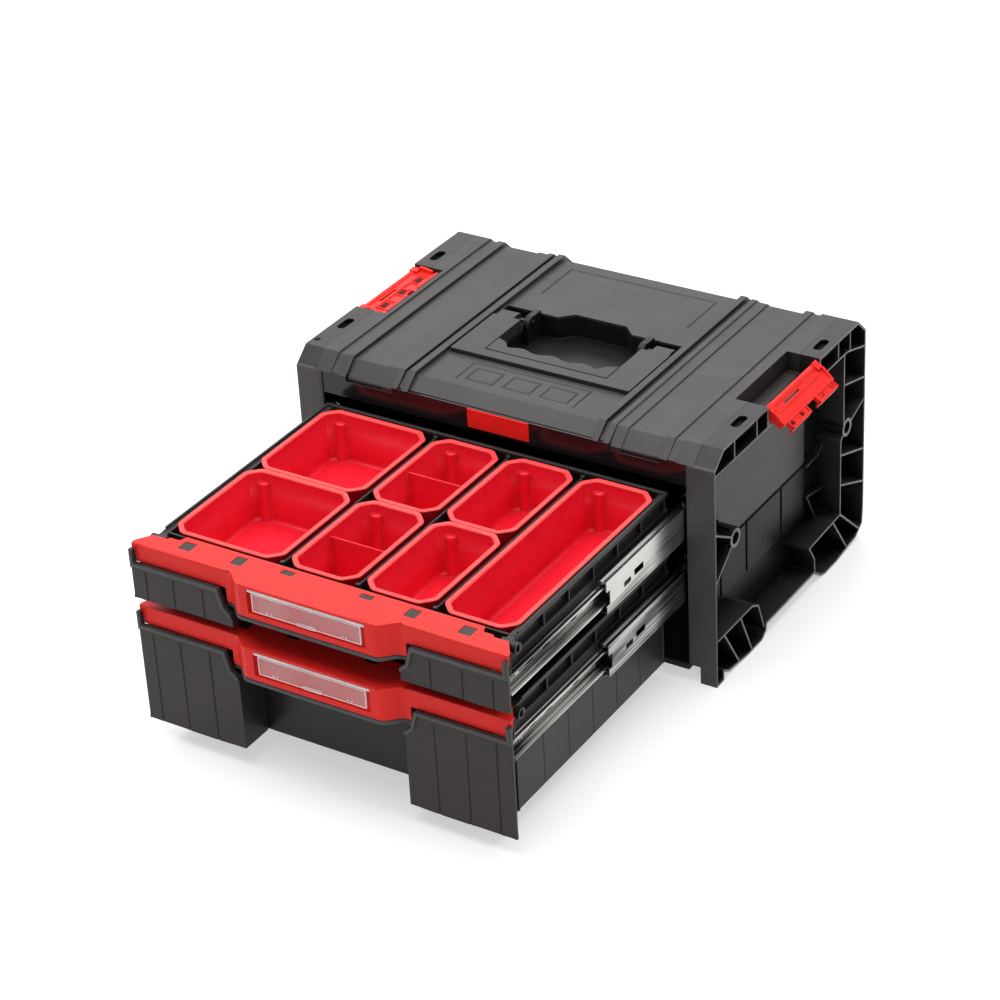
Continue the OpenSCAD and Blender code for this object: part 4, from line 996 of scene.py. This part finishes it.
@dataclass
class Bin(Assembly):
    """A lift-out bin: an eight-sided tub with a flat rim, a step in its wall and a half-round post.

    Attributes:
        node: the CAD node that it stands for.
        split: whether a cross wall divides it.
        flange: width of the rim flange outside the wall.
        wall: thickness of the wall.
        step: how far the lower wall stands in.
        bench: height of the step, as a share of the bin's height.
        corner: width of the corner cuts at the rim.
        turn: radius of the rounded corners at the rim.
        fillet: radius along the floor.
        post: radius of the post.
        dome: height and width of its rounded top.
        post_in: distance of its axis from the left rim.
        post_drop: height of the rim over its top.
        cross_drop: height of the rim over the cross wall.
    """

    node: str
    split: bool = False
    flange: float = 3.6 * MM
    wall: float = 1.6 * MM
    step: float = 1.0 * MM
    bench: float = 0.62
    corner: float = 12 * MM
    turn: float = 9.0 * MM
    fillet: float = 4.5 * MM
    post: float = 6.2 * MM
    dome: float = 2.2 * MM
    post_in: float = 16 * MM
    post_drop: float = 9.5 * MM
    cross_drop: float = 5 * MM

    def __post_init__(self) -> None:
        """Reads the node's box."""
        self.low, self.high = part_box(self.node)

    def outline(self, inset: float) -> np.ndarray:
        """Rounded eight-sided outline.

        Args:
            inset: how far it is drawn in from the rim.

        Returns:
            Array of shape (48, 2).
        """
        x0, x1 = self.low.x + inset, self.high.x - inset
        y0, y1 = self.low.y + inset, self.high.y - inset
        cut = self.corner - inset * 0.59
        corners = np.array([
            [x0 + cut, y0], [x1 - cut, y0], [x1, y0 + cut], [x1, y1 - cut],
            [x1 - cut, y1], [x0 + cut, y1], [x0, y1 - cut], [x0, y0 + cut]])
        return rounded_loop(corners, self.turn - inset * 0.5)

    def profile(self) -> np.ndarray:
        """Path of the wall, from the outside of the bottom over the rim to the floor.

        Returns:
            Inset and height of each ring.
        """
        base, top = self.low.z, self.high.z
        inner, foot = self.flange + self.wall, self.flange + self.step
        floor = inner + self.step
        bench = base + (top - base) * self.bench
        edge, lip, rim = 0.7 * MM, 1.5 * MM, 1.6 * MM
        turn, curve = np.linspace(0, math.pi / 2, 5), np.linspace(0, math.pi / 2, 7)
        outside = [
            [foot + edge, base], [foot, base + edge], [foot, bench - edge], [self.flange, bench + edge],
            [self.flange, top - rim], [edge, top - rim], [0.0, top - rim + 0.5 * MM]]
        rim_out = np.stack([edge - edge * np.cos(turn), top - edge + edge * np.sin(turn)], 1)
        rim_in = np.stack([inner - lip + lip * np.sin(turn), top - lip + lip * np.cos(turn)], 1)
        shoulder = [[inner, bench + 1.3 * MM], [floor, bench + 0.4 * MM]]
        fillet = np.stack([
            floor + self.fillet * (1 - np.cos(curve)),
            base + self.wall + self.fillet * (1 - np.sin(curve))], 1)
        return np.concatenate([outside, rim_out, rim_in, shoulder, fillet])

    def tub(self) -> np.ndarray:
        """The tub: the outline carried along the profile."""
        return np.stack([np.insert(self.outline(inset), 2, height, 1) for inset, height in self.profile()])

    def half_post(self) -> np.ndarray:
        """The post: radius r(z) at angles from 180 to 360 degrees, domed at its top.

        Returns:
            Array of shape (8, 21, 3).
        """
        inset = self.flange + self.wall + self.step
        x, y = self.low.x + self.post_in, self.high.y - inset + 0.6 * MM
        floor, top = self.low.z + self.wall, self.high.z - self.post_drop
        turn = np.linspace(0, math.pi / 2, 6)
        heights = np.concatenate([
            [floor - self.wall * 0.5, floor + 1.2 * MM], top - self.dome * (1 - np.sin(turn))])
        foot = [self.post + 1.6 * MM, self.post + 0.2 * MM]
        radii = np.concatenate([foot, self.post - self.dome * (1 - np.cos(turn))])[:, None]
        angle = np.linspace(math.pi, 2 * math.pi, 21)
        tall = np.repeat(heights[:, None], angle.size, 1)
        return np.stack([x + radii * np.cos(angle), y + radii * np.sin(angle), tall], -1)

    def cross_wall(self) -> np.ndarray:
        """The cross wall: a slab with a rounded top, carried across the tub.

        Returns:
            Array of shape (2, 13, 3).
        """
        inset = self.flange + self.wall * 0.5
        half, top, base = 0.8 * MM, self.high.z - self.cross_drop, self.low.z + self.wall * 0.5
        turn = np.linspace(0, math.pi, 9)
        foot = np.array([half + 0.9 * MM, half + 0.2 * MM])
        y = (self.low.y + self.high.y) / 2 + np.concatenate([foot, half * np.cos(turn), -foot[::-1]])
        z = np.concatenate([[base, base + 2 * MM], top - half + half * np.sin(turn), [base + 2 * MM, base]])
        section = np.stack([y, z], 1)
        return np.stack([np.insert(section, 0, x, 1) for x in (self.low.x + inset, self.high.x - inset)])

    def build(self) -> None:
        """Builds the bin and ties it to its body."""
        surface = Surface()
        surface.grid(self.tub())
        surface.grid(self.half_post())
        if self.split:
            surface.grid(self.cross_wall())
        surface.build(f"{self.node}_tub", self.finishes.insert, self.node, Slot.RED, 50.0, replaces=True)


# ------------------------------------------------------------------ drawers


@dataclass
class LabelWindow(Assembly):
    """A clear label window: a pane under a hinge bar, framed by raised lines, with a finger clip.

    Attributes:
        node: the CAD node that it stands for.
        bar: half the length of the hinge bar, in millimetres.
        pane: half the width of the pane, in millimetres.
    """

    node: str
    bar: float = 60.5
    pane: float = 56.5

    def plate(self, surface: Surface, x: tuple, z: tuple, y: tuple, radius: float, edge: float) -> None:
        """Adds a plate with rounded corners and softened faces.

        Args:
            surface: where it goes.
            x: its left and right side.
            z: its bottom and top.
            y: its front and back.
            radius: radius of its corners.
            edge: width of the softening.
        """
        corners = np.array([[x[0], z[0]], [x[1], z[0]], [x[1], z[1]], [x[0], z[1]]])
        middle = corners.mean(0)
        outer = rounded_loop(corners, radius, 6)
        inner = middle + (outer - middle) * (1 - 2 * edge / np.array([x[1] - x[0], z[1] - z[0]]))
        rings = [(inner, y[0]), (outer, y[0] + edge), (outer, y[1] - edge), (inner, y[1])]
        surface.grid(np.stack([np.insert(ring, 1, depth, 1) for ring, depth in rings]))

    def rod(self, surface: Surface, axis: tuple, middle: float, half: float, radius: float) -> None:
        """Adds a round rod along x with softened ends.

        Args:
            surface: where it goes.
            axis: y and z of its axis.
            middle: x of its middle.
            half: half its length.
            radius: its radius.
        """
        soft = 0.3 * MM
        angle = np.linspace(0, 2 * math.pi, 24, endpoint=False)
        circle = np.stack([np.cos(angle), np.sin(angle)], 1)
        surface.grid(np.stack([
            np.insert(axis + size * circle, 0, middle + x, 1)
            for x, size in ((-half, radius - soft), (soft - half, radius), (half - soft, radius),
                            (half, radius - soft))]))

    def lines(self, top: float) -> list:
        """Raised lines, each with its x and z range, lift, corner radius and softening in millimetres.

        Args:
            top: height of the hinge axis over the node's lowest point, in millimetres.

        Returns:
            The upright lines, clip ends and dots of both sides, then the level lines.
        """
        right = [(self.pane - 1.0, self.pane, 0.6, top - 1.2, 0.5, 0.4, 0.15)]
        right += [(8.8, 9.6, 0.2, 2.9, 0.55, 0.35, 0.12)]
        right += [(spot - 0.8, spot + 0.8, 2.5, 3.7, 0.5, 0.5, 0.15) for spot in (37.0, 41.0)]
        left = [(-end, -start, *rest) for start, end, *rest in right]
        level = [(-self.pane, self.pane, z, z + 0.7, 0.5, 0.3, 0.12) for z in (0.6, top - 2.6)]
        clip = [(-9.5, 9.5, z, z + 0.8, 0.55, 0.35, 0.12) for z in (0.0, 2.3)]
        return right + left + level + clip

    def build(self) -> None:
        """Builds the window and ties it to its body."""
        low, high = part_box(self.node)
        axis = ((DRAWER_FRONT - 8.4) * MM, high.z - 1.5 * MM)
        front, back = axis[0] - 0.6 * MM, axis[0] + 0.6 * MM
        middle = (low.x + high.x) / 2
        pane, outline = Surface(), Surface()
        self.plate(pane, (middle - self.pane * MM, middle + self.pane * MM),
                   (low.z + 0.6 * MM, axis[1] - 0.8 * MM), (front, back), 1.6 * MM, 0.25 * MM)
        self.rod(outline, axis, middle, self.bar * MM, 1.5 * MM)
        self.rod(outline, axis, middle, (self.bar + 2) * MM, 0.9 * MM)
        for x0, x1, z0, z1, lift, radius, edge in self.lines((axis[1] - low.z) / MM):
            self.plate(outline, (middle + x0 * MM, middle + x1 * MM), (low.z + z0 * MM, low.z + z1 * MM),
                       (front - lift * MM, front), radius * MM, edge * MM)
        pane.build(f"{self.node}_pane", self.finishes.window, self.node, Slot.WINDOW, 35.0, replaces=True)
        outline.build(f"{self.node}_outline", self.finishes.outline, self.node, Slot.WINDOW, 35.0)


@dataclass
class Drawer(Assembly):
    """One drawer with its trim, window, rails and fittings.

    Attributes:
        middle: x of the casing's middle plane.
        level: "upper" or "lower".
        pad_line: edging of a pad, out from the middle plane and up from the drawer's top, in millimetres.
        lip: right half of the lip under the handle, out and back from the front, in millimetres.
        lip_drop: height of the drawer's top over the lip, in millimetres.
        covers: how far out, behind the front and under the top a cover reaches, in millimetres.
    """

    middle: float
    level: str
    pad_line: tuple = ((193.3, -6.0), (193.3, -20.6), (100.9, -20.6), (96.1, -38.0), (88.5, -44.4))
    lip: tuple = ((72.4, -10.0), (86.0, 3.0), (87.4, 3.0))
    lip_drop: float = 34.6
    covers: tuple = ((186.4, 194.8), (5.8, 6.8), (-21.0, -3.0))

    def edging(self) -> None:
        """Builds the half-round edging along the top of both pads and along the lip under the handle."""
        top = DRAWER_TOPS[self.level] * MM
        face = (DRAWER_FRONT - 1.5) * MM
        surface = Surface()
        line = np.array(self.pad_line) * MM
        normal = path_normals(line)
        for side in SIDES:
            path = np.insert(line * (side, 1) + (self.middle, top), 1, face, 1)
            across = np.insert(normal * (side, 1), 1, 0.0, 1)
            bead_along(surface, path, across, np.array([[0.0, -1.0, 0.0]]), 3.0 * MM, 0.9 * MM)
        right = np.array(self.lip)
        line = lip_line(np.concatenate([right[::-1] * (-1, 1), right])) * MM
        path = np.insert(line + (self.middle, DRAWER_FRONT * MM), 2, top - self.lip_drop * MM, 1)
        out = np.insert(-path_normals(line), 2, 0.0, 1)
        bead_along(surface, path, np.array([[0.0, 0.0, 1.0]]), out, 3.2 * MM, 0.8 * MM)
        surface.build(
            f"{self.level}_front_edging", self.finishes.bead, f"{self.level}_drawer_front", Slot.TRAY)

    def end_covers(self) -> None:
        """Closes the narrow gaps behind the ends of the trim."""
        out, back, drop = self.covers
        surface = Surface()
        for side in SIDES:
            x = sorted(self.middle + side * reach * MM for reach in out)
            low, high = (
                (x[end], (DRAWER_FRONT + back[end]) * MM, (DRAWER_TOPS[self.level] + drop[end]) * MM)
                for end in (0, 1))
            surface.grid(slab_rings(low, high, 0.2 * MM))
        surface.build(
            f"{self.level}_trim_end_covers", self.finishes.tray, f"{self.level}_drawer_front", Slot.TRAY)

    def build(self) -> None:
        """Builds and dresses the drawer's pieces."""
        tray, pads, red = self.finishes.tray, self.finishes.pads, self.finishes.red
        soften(f"{self.level}_tray", 0.4, tray)
        soften(f"{self.level}_drawer_front", 0.7, pads, segments=3)
        self.edging()
        self.end_covers()
        soften(f"{self.level}_trim_pegs", 0.3, pads)
        soften(f"{self.level}_trim", 0.7, red, segments=3)
        LabelWindow(self.finishes, f"{self.level}_label_window").build()
        soften(f"{self.level}_bumpers", 0.25, tray)
        dress(f"{self.level}_rail_screws", self.finishes.steel)
        for side in ("right", "left"):
            for part in ("outer", "middle", "inner"):
                soften(f"{self.level}_{side}_{part}_rail", 0.35, self.finishes.rail)
            dress(f"{self.level}_{side}_ball_cages", self.finishes.steel)


# ------------------------------------------------------------------ casing


@dataclass
class Latch(Assembly):
    """Ribs, hinge blocks and painted-shade pockets on a latch.

    Attributes:
        middle: x of the casing's middle plane.
        side: 1 for the right latch, -1 for the left one.
        angle: turn about its hinge in degrees, 0 where it reaches straight out.
        hinge: the hinge's way out from the middle plane and up from the floor, in millimetres.
    """

    middle: float
    side: int
    angle: float
    hinge: tuple = (221.6, 237.6)

    def blocks(self, sizes: Iterable[tuple], edge: float) -> Surface:
        """Makes blocks given in millimetres along the latch, along the hinge and off its outer face.

        A point (u, y, w) lies at x = u * cos(a) + w * sin(a) and z = w * cos(a) - u * sin(a) from the
        hinge, and x changes its sign on the left side.

        Args:
            sizes: low and high u, low and high y, low and high w of each block.
            edge: width of the softening, in millimetres.

        Returns:
            The surface with all blocks.
        """
        surface = Surface()
        cosine, sine = math.cos(math.radians(self.angle)), math.sin(math.radians(self.angle))
        for u0, u1, y0, y1, w0, w1 in sizes:
            along, y, off = np.moveaxis(slab_rings((u0, y0, w0), (u1, y1, w1), edge), -1, 0)
            out = self.hinge[0] + along * cosine + off * sine
            up = self.hinge[1] + off * cosine - along * sine
            places = np.stack([out * self.side, CASING_FRONT + y, up], -1) * MM
            surface.grid(places + (self.middle, 0.0, 0.0))
        return surface

    def build(self) -> None:
        """Builds the details and ties them to the latch."""
        node = "right_latch" if self.side > 0 else "left_latch"
        knuckles = [(-3.2, 5.5, y, y + 8.5, -4.2, 4.4) for y in (106.2, 197.3)]
        bars = [(8.6, 9.8, 115.0, 197.0, 1.2, 2.3), (10.0, 11.4, 117.0, 195.0, -2.6, -1.2)]
        cross = [(10.0, 20.0, y, y + 1.4, -2.6, -1.2) for y in (117.0, 134.0, 149.0, 162.0, 177.0, 193.6)]
        wings = []
        for y in (111.0, 165.0):
            wings += [(20.6, 28.9, y, y + 1.6, 1.2, 2.9), (20.6, 28.9, y + 34.4, y + 36.0, 1.2, 2.9),
                      (27.4, 29.0, y, y + 36.0, 1.2, 2.9), (20.4, 21.8, y, y + 36.0, 1.2, 2.6)]
        ribs = self.blocks(knuckles + bars + cross + wings, 0.25)
        ribs.build(f"{node}_ribs", self.finishes.red, node, Slot.RED)
        # Thin dark red plates over the latch's pockets: painted shade.
        outer = [(22.6, 26.4, y, y + 5.0, 1.3, 1.58) for y in (113.6, 132.5, 173.4, 192.4)]
        inner = [(12.4, 18.8, y, y + wide, -1.58, -1.3)
                 for y, wide in ((119.5, 12.0), (151.5, 9.5), (179.5, 12.0))]
        pockets = self.blocks(outer + inner, 0.05)
        pockets.build(f"{node}_pockets", self.finishes.pocket_shade, node, Slot.RED)


@dataclass
class Casing(Assembly):
    """The case: shell, side panels, back, floor, front bar and their fittings.

    Attributes:
        middle: x of its middle plane.
        slot_out: distance of the stacking slots from the middle plane, in millimetres.
        slot_backs: distances of the slots behind the front, in millimetres.
        slot_floor: low and high corner of a slot's floor from its middle at the top, in millimetres.
        hole: the corner hole's distance to the left and behind the front, in millimetres.
        hole_rings: radius and height over the top of the rings of the hole's disc, in millimetres.
    """

    middle: float
    slot_out: float = 213.5
    slot_backs: tuple = (69.0, 233.0)
    slot_floor: tuple = ((-10.0, -14.0, -5.6), (10.0, 20.0, -4.7))
    hole: tuple = (219.5, 29.7)
    hole_rings: tuple = ((3.3, -0.3), (3.3, 0.03), (3.2, 0.08))

    def slot_shade_floors(self) -> None:
        """Closes the stacking slots some way under the top with near-black floors, painted shade for their
        insides.
        """
        surface = Surface()
        for side in SIDES:
            for back in self.slot_backs:
                y, z = (CASING_FRONT + back) * MM, CASING_TOP * MM
                low, high = np.array(self.slot_floor) * MM + (self.middle + side * self.slot_out * MM, y, z)
                surface.grid(slab_rings(low, high, 0.2 * MM))
        surface.build("stacking_slot_floors", self.finishes.hole, "top_shell", Slot.SHELL)

    def corner_hole_shade(self) -> None:
        """Lays a painted-shade round hole near the left front corner: a flat near-black disc with a softened
        edge.
        """
        angle = np.linspace(0, 2 * math.pi, 32, endpoint=False)
        circle = np.stack([np.cos(angle), np.sin(angle)], 1) * MM
        centre = (self.middle - self.hole[0] * MM, (CASING_FRONT + self.hole[1]) * MM)
        surface = Surface()
        surface.grid(np.stack([
            np.insert(centre + radius * circle, 2, (CASING_TOP + rise) * MM, 1)
            for radius, rise in self.hole_rings]))
        surface.build("corner_hole_shade", self.finishes.hole, "top_shell", Slot.SHELL)

    def build(self) -> None:
        """Rounds and dresses the casing's nodes."""
        shell, recess_shade, red = self.finishes.shell, self.finishes.recess_shade, self.finishes.red
        soften("top_shell", 0.6, shell)
        soften("handle_housing", 0.5, recess_shade)
        for side in ("right", "left"):
            soften(f"{side}_side_panel", 0.5, self.finishes.panel)
            soften(f"{side}_side_rim", 0.45, self.finishes.rim)
            soften(f"{side}_tube_bosses", 0.3, recess_shade)
        soften("back_panel", 0.5, shell)
        soften("base_panel", 0.4, recess_shade)
        soften("front_crossbar", 0.3, self.finishes.fascia)
        soften("badge_plate", 0.3, red)
        dress("handle_pins", self.finishes.pin)
        dress("latch_pins", self.finishes.steel)
        dress("casing_rail_screws", self.finishes.steel)
        self.slot_shade_floors()
        self.corner_hole_shade()
        soften("carry_handle", 0.5, shell)
        soften("handle_grip", 0.5, shell, angle=50.0)
        for side in ("right", "left"):
            soften(f"{side}_latch", 0.3, red)
        Latch(self.finishes, self.middle, side=1, angle=32.0).build()
        Latch(self.finishes, self.middle, side=-1, angle=-180.0).build()


# ------------------------------------------------------------------ camera, floor and light


@dataclass
class Studio:
    """Camera at the photograph's angle, a pale floor and soft light.

    Attributes:
        eye: place of the camera.
        right: the camera's right.
        up: the camera's up.
        back: the way from the object to the camera.
        lens: focal length in millimetres on a 36 mm sensor.
        lamps: name, place, aim, width and height, and power in watts of each soft box.
    """

    eye: tuple = (1.30724, -2.0015, 1.5629)
    right: tuple = (0.8495, 0.5254, -0.0480)
    up: tuple = (-0.2333, 0.4559, 0.8589)
    back: tuple = (0.4731, -0.7184, 0.5099)
    lens: float = 107.9
    lamps: tuple = (
        ("Top light", (-0.2, 0.1, 2.6), (0.0, 0.0, 0.1), (3.0, 3.0), 105.0),
        ("Sheen light", (-1.5, 2.3, 1.65), (0.0, 0.0, 0.2), (2.6, 1.5), 14.0),
        ("Right light", (2.6, -0.2, 0.9), (0.1, 0.0, 0.1), (0.6, 1.6), 9.0),
        ("Front light", (-1.0, -2.6, 1.0), (0.0, -0.1, 0.1), (1.8, 1.0), 6.0))

    def camera(self) -> None:
        """Creates the camera from its own axes."""
        data = bpy.data.cameras.new("Camera")
        data.lens = self.lens
        data.sensor_width = 36.0
        data.clip_start = 0.05
        data.clip_end = 60.0
        made = bpy.data.objects.new("Camera", data)
        axes = Matrix((self.right, self.up, self.back)).transposed()
        made.matrix_world = Matrix.Translation(Vector(self.eye)) @ axes.to_4x4()
        bpy.context.scene.collection.objects.link(made)
        bpy.context.scene.camera = made

    def floor(self) -> None:
        """Lays a wide pale floor under the feet, which turns to white away from the object."""
        size = 12.0
        mesh = bpy.data.meshes.new("Floor")
        corners = [(-size, -size, 0), (size, -size, 0), (size, size, 0), (-size, size, 0)]
        mesh.from_pydata(corners, [], [(0, 1, 2, 3)])
        made = bpy.data.objects.new("Floor", mesh)
        bpy.context.scene.collection.objects.link(made)
        material, graph, shader = new_material("Pale floor")
        set_inputs(shader, {
            "Base Color": (0.6, 0.6, 0.6, 1), "Roughness": 0.8, "Specular IOR Level": 0.1,
            "Emission Color": (1, 1, 1, 1)})
        away = graph.add("ShaderNodeVectorMath", operation="LENGTH")
        graph.wire(graph.coordinates(), away.inputs[0])
        glow = graph.span(away.outputs["Value"], 0.5, 2.2, 0.52, 1.0)
        graph.wire(graph.math("MULTIPLY", graph.direct_rays(), glow), shader.inputs["Emission Strength"])
        mesh.materials.append(material)

    def world(self) -> None:
        """An even pale surround, white where the camera or a reflection sees it."""
        world = bpy.data.worlds.new("Surround")
        bpy.context.scene.world = world
        world.use_nodes = True
        world.node_tree.nodes.clear()
        graph = Graph(world.node_tree)
        soft, white = (graph.add("ShaderNodeBackground") for _ in range(2))
        set_inputs(soft, {"Color": (1.0, 0.985, 0.98, 1), "Strength": 0.3})
        set_inputs(white, {"Strength": 1.0})
        both = graph.add("ShaderNodeMixShader")
        for index, source in enumerate((graph.direct_rays(), soft.outputs[0], white.outputs[0])):
            graph.wire(source, both.inputs[index])
        graph.wire(both.outputs[0], graph.add("ShaderNodeOutputWorld").inputs[0])

    def lamp(self, name: str, place_at: tuple, aim: tuple, size: tuple, power: float) -> None:
        """Adds a soft box.

        Args:
            name: its name.
            place_at: its place.
            aim: the point that it faces.
            size: its width and height.
            power: its power in watts.
        """
        data = bpy.data.lights.new(name, "AREA")
        data.shape = "RECTANGLE"
        data.size, data.size_y = size
        data.energy = power
        data.color = (1.0, 0.972, 0.972)
        made = bpy.data.objects.new(name, data)
        made.location = place_at
        made.rotation_mode = "QUATERNION"
        made.rotation_quaternion = (Vector(aim) - Vector(place_at)).to_track_quat("-Z", "Y")
        bpy.context.scene.collection.objects.link(made)

    def build(self) -> None:
        """Sets up the camera, the floor, the surround and the lamps."""
        self.camera()
        self.floor()
        self.world()
        for values in self.lamps:
            self.lamp(*values)
        bpy.context.scene.view_settings.view_transform = "Standard"


def main() -> None:
    """Builds the studio and every sub-assembly."""
    logging.basicConfig(level=logging.INFO, format="%(name)s: %(message)s")
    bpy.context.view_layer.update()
    Studio().build()
    low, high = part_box("top_shell")
    middle = (low.x + high.x) / 2
    finishes = Finishes(middle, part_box("long_bin")[1].z)
    Casing(finishes, middle).build()
    for level in DRAWER_TOPS:
        Drawer(finishes, middle, level).build()
    for node in ("wide_bin_rear", "wide_bin_front", "plain_bin_rear", "plain_bin_front", "long_bin"):
        Bin(finishes, node).build()
    for node in ("split_bin_rear", "split_bin_front"):
        Bin(finishes, node, split=True).build()
    for side in ("left", "middle", "right"):
        soften(f"{side}_divider", 0.5, finishes.tray)


if __name__ == "__main__":
    main()
